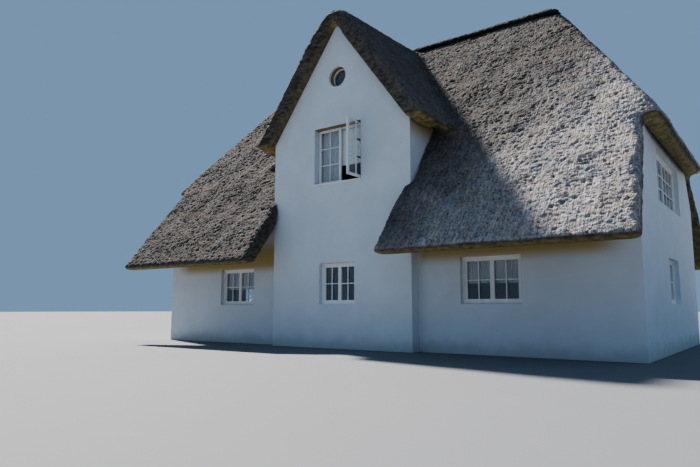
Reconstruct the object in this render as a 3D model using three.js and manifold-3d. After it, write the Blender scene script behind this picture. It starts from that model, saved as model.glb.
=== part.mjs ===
// Thatched cottage with a central front gable and half-hipped roof ends.
// Millimetres, +Z up. The ridge runs along X above the origin, the front faces -Y,
// and the ground floor walls stand on Z = 0.
import * as THREE from 'three';
import { ConvexGeometry } from 'three/addons/geometries/ConvexGeometry.js';
import { mergeVertices } from 'three/addons/utils/BufferGeometryUtils.js';
import Module from 'manifold-3d';

const wasm = await Module();
wasm.setup();

// Clearance left between pieces that touch
const GAP = 0.3;

// Walls
const WALL = 300;
const MAIN_WALL_Y = 3600;
const GABLE_WALL_Y = 3900;
const END_WALL_X = 6850;
const GABLE_HALF = 2140;
const GABLE_CORNER_Z = 5410;
const GABLE_APEX_Z = 8330;
const GABLE_SLOPE = (GABLE_APEX_Z - GABLE_CORNER_Z) / GABLE_HALF;
const CHEEK_BACK_Y = 2300;

// Floors
const FLOOR_TOP = 150;
const ATTIC_UNDER = 2600;
const ATTIC_TOP = 2800;

// Main roof
const RIDGE_Z = 8980;
const ROOF_SLOPE = 1.3;
const THATCH = 380;
const EAVE_Z = 2115;
const EAVE_ROUND = 70;
const RIDGE_ROUND = 160;

// Slow swells of the main slopes, upright, fading out at the eaves, the ridge and the hips
const SWELL_RISE = 42;
const SWELL_LENGTH_X = 1530;
const SWELL_LENGTH_Y = 1260;
const SWELL_SKEW = 0.37;
const SWELL_TURN = 1.9;
const SWELL_FACE = 440;
const SWELL_EAVE = [2250, 3000];
const SWELL_RIDGE = [8050, 8600];
const SWELL_HIP = [80, 900];

// Half-hips
const HIP_SLOPE = 1.521;
const RIDGE_END_X = 4470;
const RIDGE_END_ROUND = 800;
const HIP_TIP_X = 7270;
const HIP_EAVE_Z = 4720;
const HIP_DROOP = 280;
const HIP_HALF = 3300;
const VERGE_TOP_X = 6900;
const VERGE_TOP_Z = 4690;
const VERGE_SPREAD = 0.075;

// Gable roof
const GABLE_THATCH = 370;
const GABLE_EAVE_X = 2720;
const GABLE_EAVE_Z = 5200;
const GABLE_EAVE_BEND_Y = 3250;
const GABLE_EAVE_RISE = 0.17;
const GABLE_VERGE = 300;
const GABLE_ROUND = 320;
const GABLE_RISE = 0.042;
const NOSE_ROUND = 540;
const NOSE_RISE = 0.5;
const SKIRT_X = 1950;
const NOTCH_BACK_Y = 400;
const SWEEP_ROOM = 400;

// Swept valleys beside the gable, as points on the +X side
const VALLEY_HEAD = [60, -90, 8790];
const VALLEY_EAVE = [2700, -3250, 5212];
const VALLEY_FOOT = [3480, -3020, 5040];
const VALLEY_ROOT = [2300, -2350, 5050];

// Ridge capping
const CAP_THICKNESS = 80;
const CAP_HALF = 110;
const CAP_END = 480;
const CAP_ROUND = 120;
const CAP_LIP = 30;
const CAP_SINK = 26;

// Upper casement window in the gable
const UPPER_WIDTH = 1470;
const UPPER_BOTTOM = 4140;
const UPPER_TOP = 5610;
const UPPER_REVEAL = 170;
const UPPER_STILE = 62;
const UPPER_EDGE = 18;
const SILL_OVERHANG = 20;
const SILL_DEPTH = 45;
const SILL_HEIGHT = 40;

// Round window in the gable
const ROUND_Z = 6900;
const ROUND_RADIUS = 265;
const ROUND_SEGMENTS = 40;
const ROUND_REVEAL = 170;
const ROUND_BORDER = 40;
const ROUND_DEPTH = 50;

// Ground floor windows
const GABLE_WINDOW_WIDTH = 1100;
const WINDOW_BOTTOM = 1080;
const WINDOW_TOP = 2100;
const FRONT_WINDOW_X = 3870;
const WINDOW_WIDTH = 1360;

// Attic windows in the ends
const ATTIC_WINDOW_WIDTH = 3000;
const ATTIC_WINDOW_BOTTOM = 3280;
const ATTIC_WINDOW_TOP = 4460;

// Rear door
const DOOR_WIDTH = 1040;
const DOOR_TOP = 2120;
const DOOR_BORDER = 60;
const DOOR_THICKNESS = 48;
const DOOR_SETBACK = 12;

// Joinery
const REVEAL = 110;
const FRAME_WIDTH = 55;
const FRAME_DEPTH = 80;
const STILE = 48;
const STILE_DEPTH = 45;
const BAR = 24;
const BAR_DEPTH = 24;
const BAR_SETBACK = 6;
const GLASS = 5;
const FIT = 2;

// Height and distance beyond which nothing stands, for cutting bodies
const SKY = 12000;
const FAR = 9000;
const HALF_TURN = Math.PI;
const ARC_STEPS = 8;

const RENDER_WHITE = { color: 0xe9ebea, roughness: 0.85, metalness: 0 };
const THATCH_GREY = { color: 0x847b70, roughness: 0.98, metalness: 0 };
const CAP_DARK = { color: 0x3a3a3f, roughness: 0.95, metalness: 0 };
const JOINERY_WHITE = { color: 0xf2f2ee, roughness: 0.45, metalness: 0 };
const GLASS_DARK = { color: 0x39434a, roughness: 0.08, metalness: 0 };
const TIMBER = { color: 0x8a6a48, roughness: 0.75, metalness: 0 };
const STONE = { color: 0xb8b2a6, roughness: 0.9, metalness: 0 };
const DOOR_GREEN = { color: 0x2e4a45, roughness: 0.5, metalness: 0 };

// Closed solid from a closed geometry
function solidOf(geometry) {
  const bare = geometry.clone();
  bare.deleteAttribute('normal');
  bare.deleteAttribute('uv');
  const merged = mergeVertices(bare, 1e-3);
  const mesh = new wasm.Mesh({
    numProp: 3,
    vertProperties: new Float32Array(merged.attributes.position.array),
    triVerts: new Uint32Array(merged.index.array),
  });
  return new wasm.Manifold(mesh);
}

// Geometry with flat faces from a solid
function geometryOf(solid) {
  const mesh = solid.getMesh();
  const geometry = new THREE.BufferGeometry();
  const positions = new THREE.BufferAttribute(new Float32Array(mesh.vertProperties), 3);
  geometry.setAttribute('position', positions);
  geometry.setIndex(new THREE.BufferAttribute(new Uint32Array(mesh.triVerts), 1));
  geometry.computeVertexNormals();
  return geometry;
}

// Shape from a list of corners
function shapeOf(points) {
  return new THREE.Shape(points.map(([u, v]) => new THREE.Vector2(u, v)));
}

// Extruded outline, its depth running from 0 along the third axis
function extrude(shape, depth, steps = 1) {
  return new THREE.ExtrudeGeometry(shape, {
    depth,
    steps,
    bevelEnabled: false,
    curveSegments: ARC_STEPS,
  });
}

// Outline in Y and Z drawn out along X
function alongX(points, x0, x1, steps = 1) {
  const geometry = extrude(shapeOf(points), x1 - x0, steps);
  const axes = new THREE.Matrix4().makeBasis(
    new THREE.Vector3(0, 1, 0),
    new THREE.Vector3(0, 0, 1),
    new THREE.Vector3(1, 0, 0),
  );
  geometry.applyMatrix4(axes);
  geometry.translate(x0, 0, 0);
  return solidOf(geometry);
}

// Outline in X and Z drawn out along Y
function alongY(points, y0, y1) {
  const geometry = extrude(shapeOf(points), y1 - y0);
  const axes = new THREE.Matrix4().makeBasis(
    new THREE.Vector3(1, 0, 0),
    new THREE.Vector3(0, 0, 1),
    new THREE.Vector3(0, -1, 0),
  );
  geometry.applyMatrix4(axes);
  geometry.translate(0, y1, 0);
  return solidOf(geometry);
}

// Outline in X and Y drawn out along Z
function alongZ(points, z0, z1) {
  const geometry = extrude(shapeOf(points), z1 - z0);
  geometry.translate(0, 0, z0);
  return solidOf(geometry);
}

// Box between two corners
function block(x0, x1, y0, y1, z0, z1) {
  const geometry = new THREE.BoxGeometry(x1 - x0, y1 - y0, z1 - z0);
  geometry.translate((x0 + x1) / 2, (y0 + y1) / 2, (z0 + z1) / 2);
  return solidOf(geometry);
}

// Join of several solids
function join(...solids) {
  return solids.reduce((all, one) => all.add(one));
}

// Mirror image across the plane X = 0
function mirrorX(solid) {
  const geometry = geometryOf(solid);
  const position = geometry.attributes.position;
  for (let i = 0; i < position.count; i += 1) {
    position.setX(i, -position.getX(i));
  }
  const index = geometry.index;
  for (let i = 0; i < index.count; i += 3) {
    const first = index.getX(i);
    index.setX(i, index.getX(i + 1));
    index.setX(i + 1, first);
  }
  return solidOf(geometry);
}

// Solid made for the +X side, or its mirror image for the -X side
function onSide(solid, sign) {
  return sign > 0 ? solid : mirrorX(solid);
}

// Corner points of an arc that rounds the corner at b between a and c
function roundCorner(a, b, c, radius) {
  const before = new THREE.Vector2(a[0] - b[0], a[1] - b[1]).normalize();
  const after = new THREE.Vector2(c[0] - b[0], c[1] - b[1]).normalize();
  const half = before.angleTo(after) / 2;
  const reach = radius / Math.tan(half);
  const middle = before.clone().add(after).normalize();
  const centre = middle.multiplyScalar(radius / Math.sin(half));
  const start = before.multiplyScalar(reach).sub(centre);
  const end = after.multiplyScalar(reach).sub(centre);
  let turn = end.angle() - start.angle();
  if (turn > HALF_TURN) {
    turn -= 2 * HALF_TURN;
  }
  if (turn < -HALF_TURN) {
    turn += 2 * HALF_TURN;
  }
  const points = [];
  for (let i = 0; i <= ARC_STEPS; i += 1) {
    const angle = start.angle() + (turn * i) / ARC_STEPS;
    points.push([
      b[0] + centre.x + radius * Math.cos(angle),
      b[1] + centre.y + radius * Math.sin(angle),
    ]);
  }
  return points;
}

// Outline with chosen corners rounded, each corner given as [u, v, radius]
function roundedOutline(corners) {
  const points = [];
  corners.forEach((corner, i) => {
    const before = corners[(i + corners.length - 1) % corners.length];
    const after = corners[(i + 1) % corners.length];
    if (corner[2]) {
      points.push(...roundCorner(before, corner, after, corner[2]));
    } else {
      points.push([corner[0], corner[1]]);
    }
  });
  return points;
}

// Upright thickness of a sloping layer
function uprightThickness(thickness, slope) {
  return thickness * Math.sqrt(1 + slope * slope);
}

const ROOF_DROP = uprightThickness(THATCH, ROOF_SLOPE);
const HIP_DROP = uprightThickness(THATCH, HIP_SLOPE);
const GABLE_RIDGE_Z = GABLE_APEX_Z + uprightThickness(GABLE_THATCH, GABLE_SLOPE);

// Space under the main slopes, lowered from the top surface
function underMain(drop, ridgeRound) {
  const top = RIDGE_Z - drop;
  const half = top / ROOF_SLOPE;
  return alongX(roundedOutline([[-half, 0, 0], [half, 0, 0], [0, top, ridgeRound]]), -FAR, FAR);
}

// Space under both half-hip slopes, lowered from the top surface
function underHips(drop) {
  const high = SKY;
  const bend = RIDGE_Z - drop;
  const inner = RIDGE_END_X - (high - bend) / HIP_SLOPE;
  const outer = RIDGE_END_X + bend / HIP_SLOPE;
  return alongY([[-outer, 0], [outer, 0], [inner, high], [-inner, high]], -FAR, FAR);
}

// Space inside the main thatch, where walls may stand
function mainInside(clearance) {
  return underMain(ROOF_DROP + clearance, 0).intersect(underHips(HIP_DROP + clearance));
}

// Space under the gable thatch, with its side walls
function gableInside(clearance, half, front, back) {
  const top = GABLE_APEX_Z - clearance;
  const corner = top - half * GABLE_SLOPE;
  return alongY([[-half, 0], [half, 0], [half, corner], [0, top], [-half, corner]], front, back);
}

// Wedge over the half-hip at the +X end, seen in plan
function hipWedge(grow) {
  const reach = FAR - RIDGE_END_X;
  const spread = (reach * HIP_SLOPE) / ROOF_SLOPE;
  return alongZ(
    [[RIDGE_END_X - grow, 0], [FAR, -spread - grow], [FAR, spread + grow]],
    0,
    SKY,
  );
}

// Outline with its long sides divided in short ones
function divided(points) {
  return points.flatMap(([u, v], i) => {
    const [nextU, nextV] = points[(i + 1) % points.length];
    const count = Math.ceil(Math.hypot(nextU - u, nextV - v) / SWELL_FACE);
    return Array.from({ length: count }, (_, step) => [
      u + ((nextU - u) * step) / count,
      v + ((nextV - v) * step) / count,
    ]);
  });
}

// Upright rise of the main thatch's surface at one place on it
function swellAt(x, y, z) {
  const eave = THREE.MathUtils.smoothstep(z, ...SWELL_EAVE);
  const ridge = 1 - THREE.MathUtils.smoothstep(z, ...SWELL_RIDGE);
  const underHip = RIDGE_Z - (Math.abs(x) - RIDGE_END_X) * HIP_SLOPE - z;
  const hip = THREE.MathUtils.smoothstep(underHip, ...SWELL_HIP);
  const u = (2 * HALF_TURN * (x + SWELL_SKEW * y)) / SWELL_LENGTH_X;
  const v = (2 * HALF_TURN * (y - SWELL_SKEW * x)) / SWELL_LENGTH_Y;
  const wave = Math.sin(u + SWELL_TURN) * Math.sin(v) + Math.sin(u * SWELL_SKEW + v) / 2;
  return SWELL_RISE * wave * eave * ridge * hip;
}

// Solid whose surface rises and falls in slow swells
function swelled(solid) {
  const geometry = geometryOf(solid);
  const position = geometry.attributes.position;
  for (let i = 0; i < position.count; i += 1) {
    const [x, y, z] = [position.getX(i), position.getY(i), position.getZ(i)];
    position.setZ(i, z + swellAt(x, y, z));
  }
  return solidOf(geometry);
}

// Outside of the main thatch
function mainOutside() {
  const eaveY = (RIDGE_Z - EAVE_Z) / ROOF_SLOPE;
  const outline = roundedOutline([
    [-eaveY, EAVE_Z, EAVE_ROUND],
    [eaveY, EAVE_Z, EAVE_ROUND],
    [0, RIDGE_Z, RIDGE_ROUND],
  ]);
  const steps = Math.ceil((2 * HIP_TIP_X) / SWELL_FACE);
  const body = alongX(divided(outline), -HIP_TIP_X, HIP_TIP_X, steps);
  return swelled(body).intersect(underRidge(0));
}

// Space under the ridge and both half-hips, the ends of the ridge rounded
function underRidge(grow) {
  const top = RIDGE_Z + grow;
  const outer = RIDGE_END_X + top / HIP_SLOPE;
  const round = RIDGE_END_ROUND + grow;
  const outline = roundedOutline([
    [-outer, 0, 0],
    [outer, 0, 0],
    [RIDGE_END_X, top, round],
    [-RIDGE_END_X, top, round],
  ]);
  return alongY(outline, -FAR, FAR);
}

// Main thatch as one shell, cut at the eaves and at the ends
const OUTSIDE = mainOutside();
function mainShell() {
  return OUTSIDE.subtract(mainInside(0));
}

// Space that the main thatch leaves free for the gable
function gableNotch() {
  const behind = gableInside(-GAP, GABLE_HALF + GAP, -GABLE_WALL_Y - GAP, -NOTCH_BACK_Y);
  const before = block(-SKIRT_X, SKIRT_X, -FAR, -GABLE_WALL_Y, 0, RIDGE_Z);
  return behind.add(before);
}

// Body that ends the front and rear slopes at their +X verge, below the half-hip
function vergeLimit() {
  const foot = VERGE_TOP_X + VERGE_TOP_Z * VERGE_SPREAD;
  const low = alongY(
    [[-FAR, 0], [foot, 0], [VERGE_TOP_X, VERGE_TOP_Z], [-FAR, VERGE_TOP_Z]],
    -FAR,
    FAR,
  );
  return low.add(block(-FAR, FAR, -FAR, FAR, VERGE_TOP_Z - GAP, SKY));
}

// Thatch of the front slope on one side of the gable axis
function frontThatch(sign) {
  const region = block(GAP / 2, FAR, -FAR, -GAP / 2, 0, SKY);
  return mainShell()
    .intersect(onSide(region, sign))
    .subtract(onSide(hipWedge(GAP), sign))
    .subtract(gableNotch())
    .intersect(onSide(vergeLimit(), sign));
}

// Thatch of the rear slope from end to end
function rearThatch() {
  const region = block(-FAR, FAR, GAP / 2, FAR, 0, SKY);
  const limit = vergeLimit();
  return mainShell()
    .intersect(region)
    .subtract(hipWedge(GAP))
    .subtract(mirrorX(hipWedge(GAP)))
    .intersect(limit)
    .intersect(mirrorX(limit));
}

// Space above the eaves of the half-hips, which droop in the middle
function aboveHipEaves() {
  const droop = [];
  for (let i = -ARC_STEPS; i <= ARC_STEPS; i += 1) {
    const share = i / ARC_STEPS;
    droop.push([share * HIP_HALF, HIP_EAVE_Z - HIP_DROOP * (1 - share ** 4)]);
  }
  return alongX(
    [[-FAR, HIP_EAVE_Z], ...droop, [FAR, HIP_EAVE_Z], [FAR, SKY], [-FAR, SKY]],
    -FAR,
    FAR,
  );
}

// Thatch of the half-hip at one end
function hipThatch(sign) {
  return mainShell().intersect(onSide(hipWedge(0), sign)).intersect(aboveHipEaves());
}

// Closed body over four or more points
function convexBody(points) {
  return solidOf(new ConvexGeometry(points.map(([x, y, z]) => new THREE.Vector3(x, y, z))));
}

// Roof body over the gable, its ridge rising towards the main roof
function gableSweep(grow, round, rise) {
  const ridge = GABLE_RIDGE_Z + grow;
  const half = GABLE_EAVE_X;
  const foot = ridge - half * GABLE_SLOPE;
  const low = GABLE_EAVE_Z - SWEEP_ROOM;
  const outline = roundedOutline([
    [-half, low, 0],
    [half, low, 0],
    [half, foot, 0],
    [0, ridge, round],
    [-half, foot, 0],
  ]);
  const front = -GABLE_WALL_Y - GABLE_VERGE;
  const geometry = geometryOf(alongY(outline, front, -GAP));
  geometry.translate(0, -front, 0);
  geometry.applyMatrix4(new THREE.Matrix4().makeShear(0, 0, 0, rise, 0, 0));
  geometry.translate(0, front, 0);
  return solidOf(geometry);
}

// Space above the gable's eaves, which rise towards the front
function aboveGableEaves() {
  const frontZ = GABLE_EAVE_Z + (FAR - GABLE_EAVE_BEND_Y) * GABLE_EAVE_RISE;
  const bend = [-GABLE_EAVE_BEND_Y, GABLE_EAVE_Z];
  return alongX(
    [[-FAR, frontZ], bend, [FAR, GABLE_EAVE_Z], [FAR, SKY], [-FAR, SKY]],
    -FAR,
    FAR,
  );
}

// Outside of the gable thatch, rounder at its front point than behind
function gableOutside(grow) {
  return gableSweep(grow, GABLE_ROUND, GABLE_RISE)
    .intersect(gableSweep(grow, NOSE_ROUND, NOSE_RISE))
    .intersect(aboveGableEaves());
}

// Thatch that fills the valley on the +X side of the gable
function valleyFill() {
  return convexBody([VALLEY_HEAD, VALLEY_EAVE, VALLEY_FOOT, VALLEY_ROOT]);
}

// Thatch over the gable, running back into the main slope
function gableThatch() {
  const fill = valleyFill();
  return join(gableOutside(0), fill, mirrorX(fill))
    .subtract(gableInside(0, GABLE_EAVE_X, -FAR, FAR))
    .subtract(OUTSIDE.translate([0, 0, GAP]));
}

// Capping that saddles the main ridge
function ridgeCap() {
  const reach = CAP_HALF;
  const over = RIDGE_Z + uprightThickness(CAP_THICKNESS, ROOF_SLOPE);
  const low = RIDGE_Z - reach * ROOF_SLOPE;
  const lip = reach + CAP_LIP;
  const lipZ = over - lip * ROOF_SLOPE;
  const outline = roundedOutline([
    [-reach, low, 0],
    [-lip, lipZ, 0],
    [0, over, CAP_ROUND],
    [lip, lipZ, 0],
    [reach, low, 0],
    [0, RIDGE_Z - CAP_SINK, 0],
  ]);
  const body = alongX(outline.reverse(), -HIP_TIP_X, HIP_TIP_X);
  const capped = body.intersect(underRidge(CAP_THICKNESS));
  const end = RIDGE_END_X + CAP_END;
  return capped
    .intersect(block(-end, end, -FAR, FAR, 0, SKY))
    .subtract(OUTSIDE.translate([0, 0, GAP]))
    .subtract(gableOutside(GAP));
}

// Box that cuts a window or door through a wall facing Y
function openingY(centre, width, bottom, top) {
  return block(centre - width / 2, centre + width / 2, -FAR, FAR, bottom, top);
}

// Wall on the front, from the gable to the end
function frontWall() {
  const y = -MAIN_WALL_Y;
  const inner = GABLE_HALF - WALL;
  const high = block(GABLE_HALF + GAP, END_WALL_X, y + GAP, y + WALL, 0, SKY);
  const low = block(inner, GABLE_HALF + 2 * GAP, y + GAP, y + WALL, 0, ATTIC_TOP - GAP);
  const opening = openingY(FRONT_WINDOW_X, WINDOW_WIDTH, WINDOW_BOTTOM, WINDOW_TOP);
  return high.intersect(mainInside(GAP)).add(low).subtract(opening);
}

// Wall at the rear, with a door and two windows
function rearWall() {
  const y = MAIN_WALL_Y;
  const body = block(-END_WALL_X, END_WALL_X, y - WALL, y, 0, SKY).intersect(mainInside(GAP));
  const window = openingY(FRONT_WINDOW_X, WINDOW_WIDTH, WINDOW_BOTTOM, WINDOW_TOP);
  return body
    .subtract(window)
    .subtract(mirrorX(window))
    .subtract(openingY(0, DOOR_WIDTH, FLOOR_TOP, DOOR_TOP));
}

// Wall at the +X end, with a window on each storey
function endWall() {
  const y = MAIN_WALL_Y - WALL - GAP;
  const body = block(END_WALL_X - WALL, END_WALL_X, -y, y, 0, SKY).intersect(mainInside(GAP));
  const half = WINDOW_WIDTH / 2;
  const atticHalf = ATTIC_WINDOW_WIDTH / 2;
  const low = block(0, FAR, -half, half, WINDOW_BOTTOM, WINDOW_TOP);
  const attic = block(0, FAR, -atticHalf, atticHalf, ATTIC_WINDOW_BOTTOM, ATTIC_WINDOW_TOP);
  return body.subtract(low).subtract(attic);
}

// Upright cylinder laid along Y
function barrelY(radius, y0, y1, z) {
  const geometry = new THREE.CylinderGeometry(radius, radius, y1 - y0, ROUND_SEGMENTS);
  geometry.translate(0, (y0 + y1) / 2, z);
  return solidOf(geometry);
}

// Front wall of the gable, from the ground to its point
function gableWall() {
  const front = -GABLE_WALL_Y;
  const body = gableInside(GAP, GABLE_HALF, front, -MAIN_WALL_Y - GAP);
  const round = barrelY(ROUND_RADIUS, -FAR, 0, 0);
  return body
    .subtract(openingY(0, UPPER_WIDTH, UPPER_BOTTOM, UPPER_TOP))
    .subtract(openingY(0, GABLE_WINDOW_WIDTH, WINDOW_BOTTOM, WINDOW_TOP))
    .subtract(round.translate([0, 0, ROUND_Z]));
}

// Side wall of the gable, above the attic floor
function gableCheek() {
  const inner = GABLE_HALF - WALL;
  const body = block(inner, GABLE_HALF, -MAIN_WALL_Y + GAP, -CHEEK_BACK_Y, ATTIC_TOP, SKY);
  return body.intersect(gableInside(GAP, GABLE_HALF, -FAR, 0));
}

// Slab that fills the plan inside the walls
function floorSlab(bottom, top) {
  const x = END_WALL_X - WALL - GAP;
  const y = MAIN_WALL_Y - WALL - GAP;
  const bay = GABLE_HALF - WALL - GAP;
  const front = -MAIN_WALL_Y;
  return alongZ(
    [[-x, -y], [-bay, -y], [-bay, front], [bay, front], [bay, -y], [x, -y], [x, y], [-x, y]],
    bottom,
    top,
  );
}

// Flat ring with a rectangular hole, its back at Y = 0 and its front at -depth
function ringY(width, height, border, depth) {
  const half = width / 2;
  const outer = shapeOf([[-half, 0], [half, 0], [half, height], [-half, height]]);
  const a = half - border;
  const hole = new THREE.Path([
    new THREE.Vector2(-a, border),
    new THREE.Vector2(-a, height - border),
    new THREE.Vector2(a, height - border),
    new THREE.Vector2(a, border),
  ]);
  outer.holes.push(hole);
  const geometry = extrude(outer, depth);
  geometry.rotateX(HALF_TURN / 2);
  return solidOf(geometry);
}

// Casement leaf with glazing bars, its outer face at Y = -STILE_DEPTH
function leaf(width, height, columns, rows, stile = STILE) {
  const parts = [ringY(width, height, stile, STILE_DEPTH)];
  const clearWidth = width - 2 * stile;
  const clearHeight = height - 2 * stile;
  const front = -STILE_DEPTH + BAR_SETBACK;
  for (let i = 1; i < columns; i += 1) {
    const x = -clearWidth / 2 + (clearWidth * i) / columns;
    const top = height - stile / 2;
    parts.push(block(x - BAR / 2, x + BAR / 2, front, front + BAR_DEPTH, stile / 2, top));
  }
  for (let i = 1; i < rows; i += 1) {
    const z = stile + (clearHeight * i) / rows;
    const half = width / 2 - stile / 2;
    parts.push(block(-half, half, front, front + BAR_DEPTH, z - BAR / 2, z + BAR / 2));
  }
  return join(...parts);
}

// Pane behind the bars of a leaf
function leafPane(width, height, stile) {
  const half = width / 2 - stile - GAP;
  const back = -STILE_DEPTH + BAR_SETBACK + BAR_DEPTH + GAP;
  return block(-half, half, back, back + GLASS, stile + GAP, height - stile - GAP);
}

// Window frame with its leaves fixed shut, back at Y = 0
function fixedWindow(width, height, leaves, columns, rows) {
  const ring = ringY(width, height, FRAME_WIDTH, FRAME_DEPTH);
  const clear = width - 2 * FRAME_WIDTH;
  const each = clear / leaves;
  const parts = [ring];
  for (let i = 0; i < leaves; i += 1) {
    const x = -clear / 2 + each * (i + 0.5);
    const one = leaf(each + FIT, height - 2 * FRAME_WIDTH + FIT, columns, rows);
    parts.push(one.translate([x, -(FRAME_DEPTH - STILE_DEPTH) / 2, FRAME_WIDTH - FIT / 2]));
  }
  return join(...parts);
}

// Sheet of glass behind all leaves of a fixed window
function fixedPane(width, height) {
  const half = width / 2 - FRAME_WIDTH - GAP;
  const back = -(FRAME_DEPTH - STILE_DEPTH) / 2 + GAP;
  return block(-half, half, back, back + GLASS, FRAME_WIDTH + GAP, height - FRAME_WIDTH - GAP);
}

// Mesh for one named piece
function piece(name, solid, look) {
  const mesh = new THREE.Mesh(geometryOf(solid), new THREE.MeshStandardMaterial(look));
  mesh.name = name;
  return mesh;
}

// Mesh for a piece modelled at the origin, then turned and set in its place
function placed(name, solid, look, x, y, z, turn = 0) {
  const mesh = piece(name, solid, look);
  mesh.position.set(x, y, z);
  mesh.rotation.z = turn;
  return mesh;
}

const house = new THREE.Group();
const SIDES = [['right', 1], ['left', -1]];

// Adds a piece for the +X side and its mirror image for the -X side
function addPair(name, solid, look) {
  house.add(piece(`${name}_right`, solid, look));
  house.add(piece(`${name}_left`, mirrorX(solid), look));
}

// Adds a fixed window and its glass at one place in a wall
function addWindow(name, width, bottom, top, grid, x, y, turn) {
  const [leaves, columns, rows] = grid;
  const w = width - 2 * GAP;
  const h = top - bottom - 2 * GAP;
  const frame = fixedWindow(w, h, leaves, columns, rows);
  house.add(placed(`${name}_frame`, frame, JOINERY_WHITE, x, y, bottom + GAP, turn));
  house.add(placed(`${name}_glass`, fixedPane(w, h), GLASS_DARK, x, y, bottom + GAP, turn));
}

// Floors
house.add(piece('ground_floor', floorSlab(0, FLOOR_TOP), STONE));
house.add(piece('attic_floor', floorSlab(ATTIC_UNDER, ATTIC_TOP - GAP), TIMBER));

// Walls
house.add(piece('gable_wall', gableWall(), RENDER_WHITE));
house.add(piece('rear_wall', rearWall(), RENDER_WHITE));
addPair('front_wall', frontWall(), RENDER_WHITE);
addPair('end_wall', endWall(), RENDER_WHITE);
addPair('gable_cheek', gableCheek(), RENDER_WHITE);

// Roof
for (const [side, sign] of SIDES) {
  house.add(piece(`thatch_front_${side}`, frontThatch(sign), THATCH_GREY));
  house.add(piece(`thatch_hip_${side}`, hipThatch(sign), THATCH_GREY));
}
house.add(piece('thatch_rear', rearThatch(), THATCH_GREY));
house.add(piece('thatch_gable', gableThatch(), THATCH_GREY));
house.add(piece('ridge_cap', ridgeCap(), CAP_DARK));

// Upper casement window of the gable, its leaves in front of the frame and the right one open
function addUpperWindow() {
  const width = UPPER_WIDTH - 2 * GAP;
  const height = UPPER_TOP - UPPER_BOTTOM - 2 * GAP;
  const leafBack = -GABLE_WALL_Y + UPPER_REVEAL + STILE_DEPTH;
  const z = UPPER_BOTTOM + GAP;
  const frame = ringY(width, height, FRAME_WIDTH, FRAME_DEPTH);
  house.add(placed('upper_window_frame', frame, JOINERY_WHITE, 0, leafBack + FRAME_DEPTH, z));
  const wide = UPPER_WIDTH / 2 - UPPER_EDGE - GAP;
  const tall = height - 2 * UPPER_EDGE;
  const low = z + UPPER_EDGE;
  const sash = leaf(wide, tall, 2, 3, UPPER_STILE);
  const pane = leafPane(wide, tall, UPPER_STILE);
  const closedX = -wide / 2 - GAP;
  const closedY = leafBack - GAP;
  house.add(placed('upper_sash_left', sash, JOINERY_WHITE, closedX, closedY, low));
  house.add(placed('upper_glass_left', pane, GLASS_DARK, closedX, closedY, low));
  const openX = UPPER_WIDTH / 2 - UPPER_EDGE - STILE_DEPTH;
  const openY = closedY - wide / 2;
  const turn = HALF_TURN / 2;
  house.add(placed('upper_sash_right', sash, JOINERY_WHITE, openX, openY, low, turn));
  house.add(placed('upper_glass_right', pane, GLASS_DARK, openX, openY, low, turn));
  const sill = block(
    -UPPER_WIDTH / 2 - SILL_OVERHANG,
    UPPER_WIDTH / 2 + SILL_OVERHANG,
    -GABLE_WALL_Y - SILL_DEPTH,
    -GABLE_WALL_Y - GAP,
    UPPER_BOTTOM - SILL_HEIGHT,
    UPPER_BOTTOM,
  );
  house.add(piece('upper_window_sill', sill, JOINERY_WHITE));
}

// Round window of the gable
function addRoundWindow() {
  const radius = ROUND_RADIUS - GAP;
  const hole = radius - ROUND_BORDER;
  const front = -GABLE_WALL_Y + ROUND_REVEAL;
  const ring = barrelY(radius, 0, ROUND_DEPTH, 0).subtract(barrelY(hole, -ROUND_DEPTH, FAR, 0));
  const back = ROUND_DEPTH / 2;
  const pane = barrelY(hole - GAP, back, back + GLASS, 0);
  house.add(placed('round_window_frame', ring, JOINERY_WHITE, 0, front, ROUND_Z));
  house.add(placed('round_window_glass', pane, GLASS_DARK, 0, front, ROUND_Z));
}

addUpperWindow();
addRoundWindow();

// Ground floor and attic windows
const PAIR_OF_LEAVES = [2, 2, 2];
const WIDE_LEAVES = [2, 3, 3];
const quarter = HALF_TURN / 2;
const frontY = -MAIN_WALL_Y + REVEAL + FRAME_DEPTH;
const rearY = MAIN_WALL_Y - REVEAL - FRAME_DEPTH;
const endX = END_WALL_X - REVEAL - FRAME_DEPTH;
const bayY = -GABLE_WALL_Y + REVEAL + FRAME_DEPTH;
addWindow('gable_window', GABLE_WINDOW_WIDTH, WINDOW_BOTTOM, WINDOW_TOP, PAIR_OF_LEAVES, 0, bayY, 0);
for (const [side, sign] of SIDES) {
  const x = sign * FRONT_WINDOW_X;
  const turn = sign * quarter;
  addWindow(
    `front_window_${side}`,
    WINDOW_WIDTH,
    WINDOW_BOTTOM,
    WINDOW_TOP,
    PAIR_OF_LEAVES,
    x,
    frontY,
    0,
  );
  addWindow(
    `rear_window_${side}`,
    WINDOW_WIDTH,
    WINDOW_BOTTOM,
    WINDOW_TOP,
    PAIR_OF_LEAVES,
    x,
    rearY,
    HALF_TURN,
  );
  addWindow(
    `end_window_${side}`,
    WINDOW_WIDTH,
    WINDOW_BOTTOM,
    WINDOW_TOP,
    PAIR_OF_LEAVES,
    sign * endX,
    0,
    turn,
  );
  addWindow(
    `attic_window_${side}`,
    ATTIC_WINDOW_WIDTH,
    ATTIC_WINDOW_BOTTOM,
    ATTIC_WINDOW_TOP,
    WIDE_LEAVES,
    sign * endX,
    0,
    turn,
  );
}

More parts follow.
